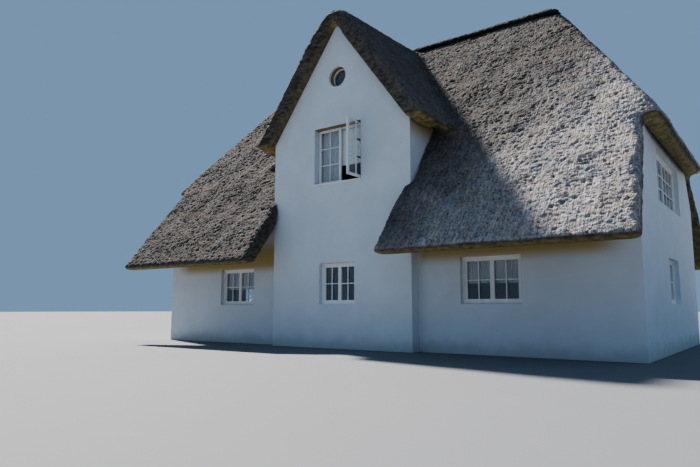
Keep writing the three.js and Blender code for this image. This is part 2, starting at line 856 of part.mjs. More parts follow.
// Rear door, shut in its frame
function addDoor() {
  const width = DOOR_WIDTH - 2 * GAP;
  const height = DOOR_TOP - FLOOR_TOP - 2 * GAP;
  const z = FLOOR_TOP + GAP;
  const frame = ringY(width, height, DOOR_BORDER, FRAME_DEPTH);
  const half = width / 2 - DOOR_BORDER - GAP;
  const low = DOOR_BORDER + GAP;
  const face = -DOOR_SETBACK - DOOR_THICKNESS;
  const door = block(-half, half, face, -DOOR_SETBACK, low, height - low);
  house.add(placed('rear_door_frame', frame, JOINERY_WHITE, 0, rearY, z, HALF_TURN));
  house.add(placed('rear_door', door, DOOR_GREEN, 0, rearY, z, HALF_TURN));
}

addDoor();

export default house;
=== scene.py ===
"""Looks of the thatched cottage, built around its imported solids. Metres, +Z up, front faces -Y."""

import math

import bpy
import numpy as np
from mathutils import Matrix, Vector


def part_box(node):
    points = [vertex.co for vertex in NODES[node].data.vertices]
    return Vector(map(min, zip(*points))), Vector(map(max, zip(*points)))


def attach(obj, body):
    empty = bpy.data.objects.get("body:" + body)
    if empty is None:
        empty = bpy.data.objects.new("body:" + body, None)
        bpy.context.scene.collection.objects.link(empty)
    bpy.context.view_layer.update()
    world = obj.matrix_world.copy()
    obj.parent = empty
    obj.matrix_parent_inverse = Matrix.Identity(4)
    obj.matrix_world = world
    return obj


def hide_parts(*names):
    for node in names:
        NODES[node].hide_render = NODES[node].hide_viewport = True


bl_info = {
    "name": "Thatched cottage",
    "version": (1, 0, 0),
    "blender": (4, 5, 0),
    "location": "View3D > Sidebar > Cottage",
    "description": "Dresses the packed solids of a thatched cottage",
    "category": "Object",
}

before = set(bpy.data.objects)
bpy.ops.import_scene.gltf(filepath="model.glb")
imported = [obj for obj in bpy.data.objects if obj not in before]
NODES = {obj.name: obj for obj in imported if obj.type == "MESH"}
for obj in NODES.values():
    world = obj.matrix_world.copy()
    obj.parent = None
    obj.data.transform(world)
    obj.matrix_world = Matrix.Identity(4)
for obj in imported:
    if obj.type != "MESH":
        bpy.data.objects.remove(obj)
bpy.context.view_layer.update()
BODY = "root"

THATCH_NODES = (
    "thatch_front_left", "thatch_front_right", "thatch_hip_left", "thatch_hip_right",
    "thatch_rear", "thatch_gable",
)
WALL_NODES = (
    "gable_wall", "front_wall_left", "front_wall_right", "end_wall_left", "end_wall_right",
    "rear_wall", "gable_cheek_left", "gable_cheek_right",
)
FIXED_WINDOWS = ("gable_window",) + tuple(
    f"{wall}_window_{side}" for wall in ("front", "rear", "end", "attic") for side in ("left", "right")
)
OTHER_JOINERY = (
    "upper_window_frame", "upper_sash_left", "upper_sash_right", "upper_window_sill", "round_window_frame"
)

# Roof lines that the solids follow
RIDGE_Z = 8.98
ROOF_SLOPE = 1.3
RIDGE_END_X = 4.47
GABLE_FRONT_Y = -4.2
# The gable's thatch is cut off this far above the main slope
GABLE_CUT = 0.12

# How much a copy is swelled so that pieces 0.3 mm apart run together
OVERLAP = 0.0006
# Corners nearer than this are welded, and walls this far out of plane are made flat
WELD = 0.0001
FLATTEN = 0.0015

# How the thatch's tone changes per metre to the right and up, size of the patches, and the range: it is
# lighter to the right and darker up, the change with height being painted sun at the foot and painted shade
# high up
LIGHTER_ACROSS = 0.22
SHADE_UP = 0.21
TONE_PATCHES = 1.3
LIGHT_RANGE = (0.22, 1.12)
# Range and colour of a further darkening where that tone is low, high up and on the left; high up it is
# painted shade
DEEP_RANGE = (-1.3, 0.3)
DEEPEST = (0.70, 0.66, 0.64, 1)
# The gable's thatch stands proud of the main slope by these heights. Its right side lies in shade and is
# painted so much paler, as painted light; that side starts between these places
PROUD_RANGE = (0.1, 0.6)
PROUD_SIDE = (-0.1, 0.25)
PROUD_LIGHT_LIFT = 1.6

# Where shade and warm light bounced off the reed are painted on the render, close under the thatch: heights
# under the eave and under the gable's roof, the distances from the middle between which the eave runs, and
# the faces of the eave walls and the gable's sides
EAVE_SHADE_HEIGHTS = (1.90, 2.22)
GABLE_SHADE_HEIGHTS = (4.85, 5.35)
EAVE_FROM = (2.08, 2.3)
EAVE_TO = (5.9, 6.75)
EAVE_TOP = (2.5, 3.0)
EAVE_DEPTH = (3.3, 3.4)
CHEEK_FROM = (1.9, 1.95)
CHEEK_DEPTH = (-3.895, -3.86)

# Hinges: thickness, height and pin of a strap, places on the upper window and the door, and lengths
HINGE_THICK = 0.006
HINGE_HIGH = 0.032
HINGE_PIN = 0.011
HINGE_HEIGHTS = (4.6365, 5.0815, 5.545)
UPPER_HINGE = (0.7173, -3.914)
DOOR_HINGE_LEFT = -0.445
UPPER_STRAP = 0.10
DOOR_STRAP = 0.5
# Gap between the door and what is fitted on it
FITTING_GAP = 0.0003
# How far the pin stands out and how long it is, for its radius and the strap's height, and the
# rounding of pins and straps
PIN_OUT = 1.03
PIN_LONG = 1.7
IRON_ROUNDING = 0.3
# Door handle: name, reach across, out from the door and up, and rounding, then the grip's middle
HANDLE_PARTS = (
    ("door_handle", (0.37, 0.405), (0.0, 0.006), (1.0, 1.22), 0.0015),
    ("foot", (0.38, 0.395), (0.003, 0.04), (1.035, 1.05), 0.002),
    ("foot", (0.38, 0.395), (0.003, 0.04), (1.17, 1.185), 0.002),
)
HANDLE_GRIP = (0.3875, 0.042, 1.11)
GRIP_RADIUS = 0.01
GRIP_LENGTH = 0.17

# Ring in the round window: centre across and up, outer and inner radius, front and back
LINING_CENTRE = (0.0, 6.9)
LINING_RADII = (0.2644, 0.246)
LINING_DEPTHS = (-3.835, -3.7305)
LINING_EDGE = 0.003
# Board over the upper window, from corner to corner
HEAD_BOARD = ((-0.7345, -3.89, 5.5925), (0.7345, -3.7308, 5.6094))
# Rounding of plain boards
FINE_EDGE = 0.002

# Rear door: boards, the gap between them, how far they stand proud of the backing, how far they stop
# short of the inner face, their rounding, and how much smaller the backing is
DOOR_BOARDS = 6
BOARD_GAP = 0.003
BOARD_PROUD = 0.012
BOARD_BACK = 0.02
BOARD_EDGE = 0.005
DOOR_INSET = 0.004
DOOR_HINGES = (0.45, 1.75)

# Curtains: rows of faces, width of the first strip, then step, width and depth of the pleats, the
# share by which the depth changes and how often
CURTAIN_ROWS = 16
CURTAIN_START = 0.001
PLEAT_STEP = 0.008
PLEAT_WIDTH = 0.075
PLEAT_DEPTH = 0.011
PLEAT_CHANGE = 0.35
PLEAT_BEAT = 0.37
DRAPE_SIZE = 0.35
DRAPE_DEPTH = 0.012
CLOTH_THICK = 0.0012
# Name, left, right, bottom, top, depth and the frame it hangs from
CURTAINS = (
    ("upper_curtain_left", -0.672, -0.10, 4.22, 5.545, -3.628, "upper_window_frame"),
    ("upper_curtain_right", -0.055, 0.672, 4.60, 5.545, -3.628, "upper_window_frame"),
    ("front_curtain_right", 3.27, 4.47, 1.52, 2.03, -3.385, "front_window_right_frame"),
    ("front_curtain_left", -4.47, -3.27, 1.52, 2.03, -3.385, "front_window_left_frame"),
)

# Dark and light tone of the floor boards
BOARD_TONES = ((0.10, 0.06, 0.03), (0.24, 0.15, 0.08))

# Edges sharper than this stay sharp, in degrees
SMOOTH_ANGLE = 35
# Edges flatter than this are dissolved, in degrees: in a solid's copy and in the joined walls
FLAT_ANGLE = 0.5
WALL_FLAT_ANGLE = 1.0
# A spread of places that counts as none
NO_SPREAD = 1e-6

# Tone of the reed: shares of the painted shade in the hollows, the grains, the specks and the lichen
RELIEF_SHADE_SHARE = 0.24
GRAIN_SHARE = 0.27
SPECK_SHARE = 0.22
LICHEN_SHARE = 0.22
# Where the hollows, the reed and the tips lie in that tone
TONE_STOPS = (0.16, 0.34, 0.74)
# Strokes and stems: how fine they are, how long drawn, and the range that they are spread over
STROKE_FINENESS = 15.0
STROKE_WANDER = (7.0, 0.09)
STROKE_RANGE = (0.34, 0.66, 0.02, 0.16)
STEM_FINENESS = 34.0
STEM_STRETCH = 0.12
STEM_RANGE = (0.3, 0.7, 0.76, 1.22)
# Cool and warm tints of the reed, in large and in small patches
HUES = (
    ((0.96, 1.0, 1.055, 1), (1.04, 1.0, 0.965, 1), {"Scale": 2.2, "Low": 0.38, "High": 0.62}),
    ((0.95, 1.00, 1.02, 1), (1.05, 0.99, 0.97, 1), {"Scale": 6.5, "Low": 0.40, "High": 0.60}),
)

SMOOTH_PASSES = 6
CREASE_PASSES = 40
LAST_PASSES = 2
HALVED_FROM = -0.3
WEIGHT_STEPS = 20
# Rise of the normal from inside to outside, from cut to top and down to the underside, and how far
# it turns from the front to the side
OUTSIDE_RANGE = (-0.45, 0.1)
TOP_RANGE = (-0.05, 0.2)
UNDER_RANGE = (0.45, 0.8)
SIDE_RANGE = (-0.15, 0.15)
# Sizes of the patterns, those of clumps and curls in tufts, depths in shares of sway or relief, and
# the value of a pattern that stays in place
SWAY_SIZE = 1.5
LUMP_SIZE = 0.45
LUMP_DEPTH = 0.45
CLUMP_SIZE = 2.4
CLUMP_DEPTH = 0.5
TUFT_DEPTH = 0.25
TUFT_MIDDLE = 0.35
CURL_SIZE = 0.8
CURL_DEPTH = 1.0
CURL_MIDDLE = 0.4
# Range of the surface's moves, in reliefs, that fills the depth of the hollows with painted shade and
# lightens the raised tufts
RELIEF_SHADE_SPREAD = 1.1
# Valleys, the gable's nose and the end of the ridge, on the right side, and how far they are rounded
CREASES = (
    ((0.5, -0.5, 8.2), (3.1, -3.1, 5.2)),
    ((0, GABLE_FRONT_Y, 8.6), (0, -1.0, 8.9)),
    ((RIDGE_END_X, 0, 8.9), (RIDGE_END_X + 0.3, 0, 8.5)),
)
CREASE_REACH = (0.35, 0.9)
# Where the foot of a slope turns round the gable, and the low corner of a half-hip
SHARP_SPOTS = ((2.05, -3.9, 3.88), (7.27, -3.276, 4.72), (7.27, 3.276, 4.72))
SPOT_REACH = (0.25, 0.8)

# Ridge capping: size of its faces, and size and depth of its heather
CAP_CELL = 0.02
HEATHER_SIZE = 0.07
HEATHER_DEPTH = 0.045

# Floor of the studio, key light and camera
FLOOR_RADIUS = 160.0
FLOOR_Z = -0.002
KEY_COLOUR = (1.0, 0.95, 0.88)
TO_KEY = (-0.63, 0.25, 0.735)
CAMERA_PLACE = (9.0, -15.48, 0.99)
CAMERA_YAW = 36.56
CAMERA_TILT = 7.14
SENSOR_WIDTH = 36.0
FAR_CLIP = 500.0


# Helpers


def deselect():
    """Leaves edit mode and deselects everything."""
    if bpy.context.object and bpy.context.object.mode != "OBJECT":
        bpy.ops.object.mode_set(mode="OBJECT")
    bpy.ops.object.select_all(action="DESELECT")


def choose(*objects):
    """Selects only these objects, the first one active."""
    deselect()
    for each in objects:
        each.select_set(True)
    bpy.context.view_layer.objects.active = objects[0]


def edit(obj, mode="VERT"):
    """Opens one object in edit mode with its whole mesh selected."""
    choose(obj)
    bpy.ops.object.mode_set(mode="EDIT")
    bpy.ops.mesh.select_mode(type=mode)
    bpy.ops.mesh.select_all(action="SELECT")


def close_edit():
    """Goes back to object mode."""
    bpy.ops.object.mode_set(mode="OBJECT")


def apply_modifier(obj, kind, **settings):
    """Adds one modifier with its settings and applies it."""
    modifier = obj.modifiers.new(kind.title(), kind)
    for key, value in settings.items():
        setattr(modifier, key, value)
    choose(obj)
    bpy.ops.object.modifier_apply(modifier=modifier.name)


def round_edges(obj, width, segments=2):
    """Rounds the sharp edges of a piece."""
    sharp = {"limit_method": "ANGLE", "angle_limit": math.radians(SMOOTH_ANGLE)}
    apply_modifier(obj, "BEVEL", width=width, segments=segments, **sharp)


def smooth(obj, passes, group=""):
    """Smooths a surface, all over or by the weights of a group."""
    apply_modifier(obj, "SMOOTH", factor=0.5, iterations=passes, vertex_group=group)


def edit_some(obj, mode, chosen):
    """Opens one object in edit mode with only the chosen corners, edges or faces selected."""
    edit(obj, mode)
    bpy.ops.mesh.select_all(action="DESELECT")
    close_edit()
    parts = {"VERT": obj.data.vertices, "EDGE": obj.data.edges, "FACE": obj.data.polygons}
    parts[mode].foreach_set("select", chosen)
    choose(obj)
    bpy.ops.object.mode_set(mode="EDIT")


def merged_copy(node, name):
    """Own copy of a solid, its triangles joined up and flat faces made whole."""
    obj = bpy.data.objects.new(name, NODES[node].data.copy())
    bpy.context.scene.collection.objects.link(obj)
    obj.data.materials.clear()
    edit(obj)
    bpy.ops.mesh.remove_doubles(threshold=WELD)
    bpy.ops.mesh.dissolve_limited(angle_limit=math.radians(FLAT_ANGLE))
    close_edit()
    return obj


def swell(obj, amount):
    """Moves every face outwards by the same amount."""
    edit(obj)
    bpy.ops.transform.shrink_fatten(value=amount, use_even_offset=True)
    close_edit()


def flatten(obj, reach):
    """Brings corners that are a hair apart along an axis to one plane, so that large faces are flat."""
    edit(obj)
    bpy.ops.mesh.remove_doubles(threshold=reach)
    close_edit()
    for axis in range(3):
        values = corners_of(obj)[:, axis]
        order = np.argsort(values)
        breaks = np.nonzero(np.diff(values[order]) > reach)[0] + 1
        for group in np.split(order, breaks):
            if np.ptp(values[group]) < NO_SPREAD:
                continue
            chosen = np.zeros(len(values), dtype=bool)
            chosen[group] = True
            flat = [1.0, 1.0, 1.0]
            flat[axis] = 0.0
            middle = [0.0, 0.0, 0.0]
            middle[axis] = float(values[group].mean())
            edit_some(obj, "VERT", chosen)
            bpy.ops.transform.resize(value=flat, center_override=middle)
            close_edit()
    edit(obj)
    bpy.ops.mesh.remove_doubles(threshold=WELD)
    bpy.ops.mesh.dissolve_degenerate(threshold=WELD)
    close_edit()


def joined(objects, name):
    """Joins objects in one mesh."""
    choose(*objects)
    bpy.ops.object.join()
    obj = bpy.context.object
    obj.name = name
    obj.data.name = name
    return obj


def even_shading(obj):
    """Shades rounded edges smooth and keeps the large faces flat."""
    choose(obj)
    bpy.ops.object.shade_smooth_by_angle(angle=math.radians(SMOOTH_ANGLE))
    apply_modifier(obj, "WEIGHTED_NORMAL", weight=100, keep_sharp=True)


def rows_of(items, key):
    """One value of three numbers for each item, one row each."""
    flat = np.empty(len(items) * 3)
    items.foreach_get(key, flat)
    return flat.reshape(-1, 3)


def corners_of(obj):
    """Places of the vertices."""
    return rows_of(obj.data.vertices, "co")


def normals_of(obj):
    """Directions of the vertices."""
    return rows_of(obj.data.vertex_normals, "vector")


def keep_value(obj, name, values):
    """Keeps one number for each vertex, for the material to read."""
    attribute = obj.data.attributes.new(name, "FLOAT", "POINT")
    attribute.data.foreach_set("value", values.astype(np.float32))


def smooth_step(values, low, high):
    """0 below low, 1 above high and a smooth rise between."""
    share = np.clip((values - low) / (high - low), 0, 1)
    return share * share * (3 - 2 * share)


def rounded(obj, width):
    """Rounds the sharp edges of a piece and evens its shading."""
    round_edges(obj, width)
    even_shading(obj)
    return obj


def finish_piece(obj, material, slot, *replaced):
    """Gives a finished piece its material, hangs it under the body and hides the solids it replaces."""
    obj.data.materials.clear()
    obj.data.materials.append(material)
    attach(obj, BODY)
    if replaced:
        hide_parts(*replaced)
    return obj


# Materials


def node_group(name, inputs, outputs):
    """New node group, the outputs of its input node and its output node, from values and kinds."""
    group = bpy.data.node_groups.new(name, "ShaderNodeTree")
    for label, value in inputs.items():
        kind = "Vector" if value is None else "Float" if isinstance(value, float) else "Color"
        socket = group.interface.new_socket(name=label, in_out="INPUT", socket_type="NodeSocket" + kind)
        if value is not None:
            socket.default_value = value
    for label, kind in outputs.items():
        group.interface.new_socket(name=label, in_out="OUTPUT", socket_type="NodeSocket" + kind)
    return group, group.nodes.new("NodeGroupInput").outputs, group.nodes.new("NodeGroupOutput")


def feed(tree, node, inputs):
    """Gives each input of a node its value, or links it to the output that feeds it."""
    for key, value in inputs.items():
        if isinstance(value, bpy.types.NodeSocket):
            tree.links.new(value, node.inputs[key])
        else:
            node.inputs[key].default_value = value
    return node


def add(tree, kind, inputs=None, **settings):
    """Adds a node with its settings and its inputs."""
    node = tree.nodes.new(kind)
    for key, value in settings.items():
        setattr(node, key, value)
    return feed(tree, node, inputs or {})


def math_node(tree, operation, *values, clamp=False):
    """Result of one sum."""
    node = add(tree, "ShaderNodeMath", dict(enumerate(values)), operation=operation, use_clamp=clamp)
    return node.outputs[0]


def product(tree, *factors):
    """All factors multiplied."""
    result = factors[0]
    for factor in factors[1:]:
        result = math_node(tree, "MULTIPLY", result, factor)
    return result


def noise(tree, place, scale, detail, roughness=0.5):
    """Outputs of a soft noise."""
    inputs = {"Vector": place, "Scale": scale, "Detail": detail, "Roughness": roughness}
    return add(tree, "ShaderNodeTexNoise", inputs).outputs


def mix_colours(tree, share, a, b, blend="MIX"):
    """Colour between two colours."""
    inputs = {0: share, 6: a, 7: b}
    return add(tree, "ShaderNodeMix", inputs, data_type="RGBA", blend_type=blend).outputs[2]


def tinted(tree, colour, tint):
    """Colour multiplied by another."""
    return mix_colours(tree, 1.0, colour, tint, "MULTIPLY")


def grey(tree, value):
    """Number as a colour."""
    return add(tree, "ShaderNodeCombineColor", {0: value, 1: value, 2: value}).outputs[0]


def range_node(tree, value, low, high, to_low=0.0, to_high=1.0):
    """Value moved from one range to another, with soft ends."""
    inputs = {0: value, 1: low, 2: high, 3: to_low, 4: to_high}
    return add(tree, "ShaderNodeMapRange", inputs, interpolation_type="SMOOTHSTEP").outputs[0]


def stretched(tree, vector, scale):
    """Coordinates stretched along each axis."""
    return add(tree, "ShaderNodeMapping", {"Vector": vector, "Scale": scale}).outputs[0]


def warped(tree, vector, scale, amount):
    """Vector pushed about by noise, so that a pattern on it wanders."""
    push = noise(tree, vector, scale, 2.0)["Color"]
    for operation, inputs in (
        ("SUBTRACT", {1: (0.5, 0.5, 0.5)}),
        ("SCALE", {"Scale": amount}),
        ("ADD", {1: vector}),
    ):
        push = add(tree, "ShaderNodeVectorMath", {0: push, **inputs}, operation=operation).outputs[0]
    return push


def object_place(tree):
    """Object coordinates."""
    return add(tree, "ShaderNodeTexCoord").outputs["Object"]


def attribute(tree, name):
    """Number kept on the vertices."""
    return add(tree, "ShaderNodeAttribute", attribute_name=name).outputs["Fac"]


def rgba(colour, share=1.0):
    """Colour with full cover, darkened to a share."""
    return (*[part * share for part in colour[:3]], 1.0)


def make_mottling():
    """Node group: patches of two colours."""
    inputs = {
        "Vector": None, "Scale": 5.0, "Low": 0.35, "High": 0.65,
        "Dark": (0.1, 0.1, 0.1, 1), "Light": (0.8, 0.8, 0.8, 1),
    }
    group, given, results = node_group("Mottling", inputs, {"Color": "Color", "Mask": "Float"})
    patches = noise(group, given["Vector"], given["Scale"], 5.0, 0.6)["Fac"]
    mask = range_node(group, patches, given["Low"], given["High"])
    colour = mix_colours(group, mask, given["Dark"], given["Light"])
    feed(group, results, {"Color": colour, "Mask": mask})


def make_stems():
    """Node group: fine stems that run down a slope, whichever way it faces."""
    inputs = {"Vector": None, "Side": 0.0, "Fineness": 40.0}
    group, given, results = node_group("Stems", inputs, {"Mask": "Float"})
    masks = []
    for scale in ((1.0, STEM_STRETCH, STEM_STRETCH), (STEM_STRETCH, 1.0, STEM_STRETCH)):
        place = stretched(group, given["Vector"], scale)
        masks.append(noise(group, place, given["Fineness"], 2.0)["Fac"])
    mixed = add(group, "ShaderNodeMix", {0: given["Side"], 2: masks[0], 3: masks[1]}, data_type="FLOAT")
    feed(group, results, {"Mask": mixed.outputs[0]})


def make_grain():
    """Node group: small bumps all over a surface."""
    inputs = {"Vector": None, "Scale": 60.0, "Strength": 0.3, "Distance": 0.01, "Height": 0.0}
    group, given, results = node_group("Grain", inputs, {"Normal": "Vector"})
    grains = noise(group, given["Vector"], given["Scale"], 3.0, 0.55)["Fac"]
    height = math_node(group, "ADD", grains, given["Height"])
    inputs = {"Strength": given["Strength"], "Distance": given["Distance"], "Height": height}
    feed(group, results, {"Normal": add(group, "ShaderNodeBump", inputs).outputs[0]})


def make_damp():
    """Node group: a damp mark that rises from the ground and breaks up as it fades."""
    group, given, results = node_group("Damp", {"Vector": None, "Height": 0.4}, {"Mask": "Float"})
    z = add(group, "ShaderNodeSeparateXYZ", {0: given["Vector"]}).outputs["Z"]
    wander = product(group, noise(group, given["Vector"], 3.0, 4.0)["Fac"], given["Height"])
    raised = math_node(group, "SUBTRACT", z, wander)
    share = math_node(group, "DIVIDE", raised, given["Height"])
    feed(group, results, {"Mask": range_node(group, share, -0.4, 0.6, 1.0, 0.0)})


def make_weather_and_sun():
    """Node group: the roof is lighter towards its low right part and darker high up and on the left, with
    painted sun at the foot, painted shade high up, and the gable's shaded right side painted paler.
    """
    inputs = {"Vector": None, "Dark": (0.40, 0.378, 0.366, 1), "Light": (1.46, 1.47, 1.50, 1)}
    group, given, results = node_group("WeatherAndSun", inputs, {"Color": "Color"})
    parts = add(group, "ShaderNodeSeparateXYZ", {0: given["Vector"]}).outputs
    across = product(group, parts["X"], LIGHTER_ACROSS)
    # Darker per metre up: painted shade high on the slope and painted sun at its foot
    up = product(group, parts["Z"], SHADE_UP)
    patches = product(group, noise(group, given["Vector"], 0.9, 6.0, 0.7)["Fac"], TONE_PATCHES)
    level = math_node(group, "ADD", math_node(group, "SUBTRACT", across, up), patches)
    bleached = mix_colours(group, range_node(group, level, *LIGHT_RANGE), given["Dark"], given["Light"])
    deep = mix_colours(group, range_node(group, level, *DEEP_RANGE), DEEPEST, (1, 1, 1, 1))
    drop = product(group, math_node(group, "ABSOLUTE", parts["Y"]), ROOF_SLOPE)
    proud = math_node(group, "SUBTRACT", parts["Z"], math_node(group, "SUBTRACT", RIDGE_Z, drop))
    sides = (range_node(group, proud, *PROUD_RANGE), range_node(group, parts["X"], *PROUD_SIDE))
    # Painted light: the gable's shaded right side is made paler
    tone = math_node(group, "MULTIPLY_ADD", product(group, *sides), PROUD_LIGHT_LIFT - 1.0, 1.0)
    colour = tinted(group, tinted(group, bleached, deep), grey(group, tone))
    feed(group, results, {"Color": colour})


GROUP_MAKERS = {
    "WeatherAndSun": make_weather_and_sun,
    "Mottling": make_mottling,
    "Stems": make_stems,
    "Grain": make_grain,
    "Damp": make_damp,
}


def group_node(tree, name, **inputs):
    """Outputs of a shared node group, which is made at its first use."""
    if name not in bpy.data.node_groups:
        GROUP_MAKERS[name]()
    node = tree.nodes.new("ShaderNodeGroup")
    node.node_tree = bpy.data.node_groups[name]
    return feed(tree, node, inputs).outputs


def mottling(tree, place, dark, light, **inputs):
    """Colour in patches of two colours."""
    return group_node(tree, "Mottling", Vector=place, Dark=dark, Light=light, **inputs)["Color"]


def spots(tree, place, share, **inputs):
    """Mask of patches, down to a share."""
    mask = group_node(tree, "Mottling", Vector=place, **inputs)["Mask"]
    return product(tree, mask, share)


def bumps(tree, place, **inputs):
    """Normal with small bumps."""
    return group_node(tree, "Grain", Vector=place, **inputs)["Normal"]


def stems(tree, place, fineness):
    """Mask of fine stems that run down the slope."""
    return group_node(tree, "Stems", Vector=place, Side=attribute(tree, "side"), Fineness=fineness)["Mask"]


def new_material(name, **values):
    """Material, its nodes and its one Principled shader with fixed values set on it."""
    material = bpy.data.materials.new(name)
    material.use_nodes = True
    shader = material.node_tree.nodes["Principled BSDF"]
    for key, value in values.items():
        shader.inputs[key.replace("_", " ")].default_value = value
    return material, material.node_tree, shader


def mottled_material(name, dark, light, patch, bump, stretch=(None, None), **values):
    """Material with patches of two colours and small bumps, each on coordinates that may be stretched."""
    material, tree, shader = new_material(name, **values)
    place = object_place(tree)
    places = [stretched(tree, place, scale) if scale else place for scale in stretch]
    colour = mottling(tree, places[0], rgba(dark), rgba(light), **patch)
    feed(tree, shader, {"Base Color": colour, "Normal": bumps(tree, places[1], **bump)})
    return material


def reed_tone(tree, look, place):
    """Colour of the thatch's face: pale tips, grey reed and sparse dark pits, warm and cool by turns, with
    painted shade in the hollows.
    """
    strokes = stems(tree, warped(tree, place, *STROKE_WANDER), STROKE_FINENESS)
    # Painted shade: the deeper the surface lies after its tufts are pushed in, the darker its reed
    lift = product(tree, attribute(tree, "pit"), RELIEF_SHADE_SHARE)
    for part in (
        spots(tree, place, GRAIN_SHARE, Scale=17.0, Low=0.36, High=0.60),
        spots(tree, place, SPECK_SHARE, Scale=36.0, Low=0.36, High=0.62),
        range_node(tree, strokes, *STROKE_RANGE),
    ):
        lift = math_node(tree, "ADD", lift, part)
    ramp = add(tree, "ShaderNodeValToRGB", {0: lift})
    ramp.color_ramp.elements.new(TONE_STOPS[1])
    for stop, at, colour in zip(ramp.color_ramp.elements, TONE_STOPS, (look.hollow_shade, look.reed, look.tip)):
        stop.position = at
        stop.color = rgba(colour)
    tone = ramp.outputs["Color"]
    for cool, warm, size in HUES:
        tone = tinted(tree, tone, mottling(tree, place, cool, warm, **size))
    return tone


def reed_material(look):
    """Weathered reed with painted sun and shade, brown where it is cut and olive underneath, where warm
    bounced light is painted too.
    """
    material, tree, shader = new_material("weathered_reed", Roughness=0.95)
    place = object_place(tree)
    fine = stems(tree, place, STEM_FINENESS)
    # Weathering together with painted sun and shade on the slopes
    weather_and_sun = group_node(tree, "WeatherAndSun", Vector=place)["Color"]
    weathered = tinted(tree, reed_tone(tree, look, place), weather_and_sun)
    clean = tinted(tree, weathered, grey(tree, range_node(tree, fine, *STEM_RANGE)))
    lichens = spots(tree, place, LICHEN_SHARE, Scale=1.4, Low=0.52, High=0.7)
    top = mix_colours(tree, lichens, clean, rgba(look.lichen))
    flat = stretched(tree, place, (0.35, 0.35, 1.0))
    layers = mottling(tree, flat, rgba(look.cut_dark), rgba(look.cut), Scale=16.0)
    # Underside: the reed's own sheltered golden tone, made brighter as painted warm light bounced up from
    # the ground
    sheltered = mottling(tree, place, rgba(look.under, 0.45), rgba(look.under), Scale=9.0)
    edge = mix_colours(tree, attribute(tree, "under"), layers, sheltered)
    colour = mix_colours(tree, attribute(tree, "cut"), top, edge)
    relief = product(tree, fine, 0.8)
    normal = bumps(tree, place, Scale=24.0, Strength=1.0, Distance=0.034, Height=relief)
    feed(tree, shader, {"Base Color": colour, "Normal": normal})
    return material


def cap_material(look):
    """Dark heather of the ridge capping."""
    patch = {"Scale": 14.0, "Low": 0.3, "High": 0.75}
    bump = {"Scale": 60.0, "Strength": 0.8, "Distance": 0.02}
    return mottled_material("ridge_heather", look.cap_dark, look.cap, patch, bump, Roughness=0.95)


def reed_stain(tree, place):
    """Mask where shade and warm bounced light are painted close under the thatch, on the eave walls and the
    gable's sides.
    """
    parts = add(tree, "ShaderNodeSeparateXYZ", {0: place}).outputs
    height = parts["Z"]
    across = math_node(tree, "ABSOLUTE", parts["X"])
    depth = math_node(tree, "ABSOLUTE", parts["Y"])
    eave = product(
        tree,
        range_node(tree, height, *EAVE_SHADE_HEIGHTS),
        range_node(tree, height, *EAVE_TOP, 1.0, 0.0),
        range_node(tree, across, *EAVE_FROM),
        range_node(tree, across, *EAVE_TO, 1.0, 0.0),
        range_node(tree, depth, *EAVE_DEPTH),
    )
    cheek = product(
        tree,
        range_node(tree, across, *EAVE_FROM, 1.0, 0.0),
        range_node(tree, across, *CHEEK_FROM),
        range_node(tree, height, *GABLE_SHADE_HEIGHTS),
        range_node(tree, parts["Y"], *CHEEK_DEPTH),
    )
    return math_node(tree, "ADD", eave, cheek, clamp=True)


def render_material(look):
    """White lime render, tinted faintly blue as painted cool shade, with faint patches, a damp foot and
    painted shade with warm bounced light close under the thatch.
    """
    material, tree, shader = new_material("white_render", Roughness=0.9)
    place = object_place(tree)
    dull = rgba(look.render, 0.94)
    clean = mottling(tree, place, dull, rgba(look.render), Scale=1.3, Low=0.3, High=0.7)
    damp = group_node(tree, "Damp", Vector=place, Height=0.35)["Mask"]
    walls = mix_colours(tree, product(tree, damp, 0.5), clean, rgba(look.damp))
    height = product(tree, noise(tree, place, 2.2, 2.0)["Fac"], 3.0)
    normal = bumps(tree, place, Scale=90.0, Strength=0.25, Distance=0.004, Height=height)
    # Painted shade, warmed by painted light bounced off the reed, on the walls close under the thatch
    colour = mix_colours(tree, reed_stain(tree, place), walls, rgba(look.stain))
    feed(tree, shader, {"Base Color": colour, "Normal": normal})
    return material


def painted_material(name, colour, worn, roughness):
    """Brushed paint on wood."""
    patch = {"Scale": 7.0, "Low": 0.2, "High": 0.6}
    bump = {"Scale": 160.0, "Strength": 0.15, "Distance": 0.002}
    stretch = (None, (1.0, 1.0, 0.1))
    return mottled_material(name, worn, colour, patch, bump, stretch, Roughness=roughness)


def wood_material(name, dark, light, axis_scale):
    """Bare wood with long grain."""
    patch = {"Scale": 20.0, "Low": 0.3, "High": 0.7}
    bump = {"Scale": 60.0, "Strength": 0.3, "Distance": 0.004}
    return mottled_material(name, dark, light, patch, bump, (axis_scale, axis_scale), Roughness=0.75)


def stone_material(look):
    """Pale stone floor with joints."""
    material, tree, shader = new_material("stone_flags", Roughness=0.85)
    place = object_place(tree)
    bricks = {
        "Vector": place, "Scale": 1.0, "Mortar Size": 0.012, "Brick Width": 0.6, "Row Height": 0.4,
        "Color1": rgba(look.stone), "Color2": rgba(look.stone, 0.85), "Mortar": rgba(look.stone, 0.4),
    }
    colour = add(tree, "ShaderNodeTexBrick", bricks).outputs["Color"]
    normal = bumps(tree, place, Scale=30.0, Strength=0.2, Distance=0.004)
    feed(tree, shader, {"Base Color": colour, "Normal": normal})
    return material


def glass_material(look):
    """Old window glass, slightly wavy."""
    dull = rgba(look.glass, 0.9)
    waves = {"Scale": 3.0, "Strength": 0.12, "Distance": 0.01}
    values = {"Roughness": 0.03, "IOR": 1.5, "Transmission_Weight": 0.93}
    return mottled_material("window_glass", dull, look.glass, {"Scale": 1.6}, waves, **values)


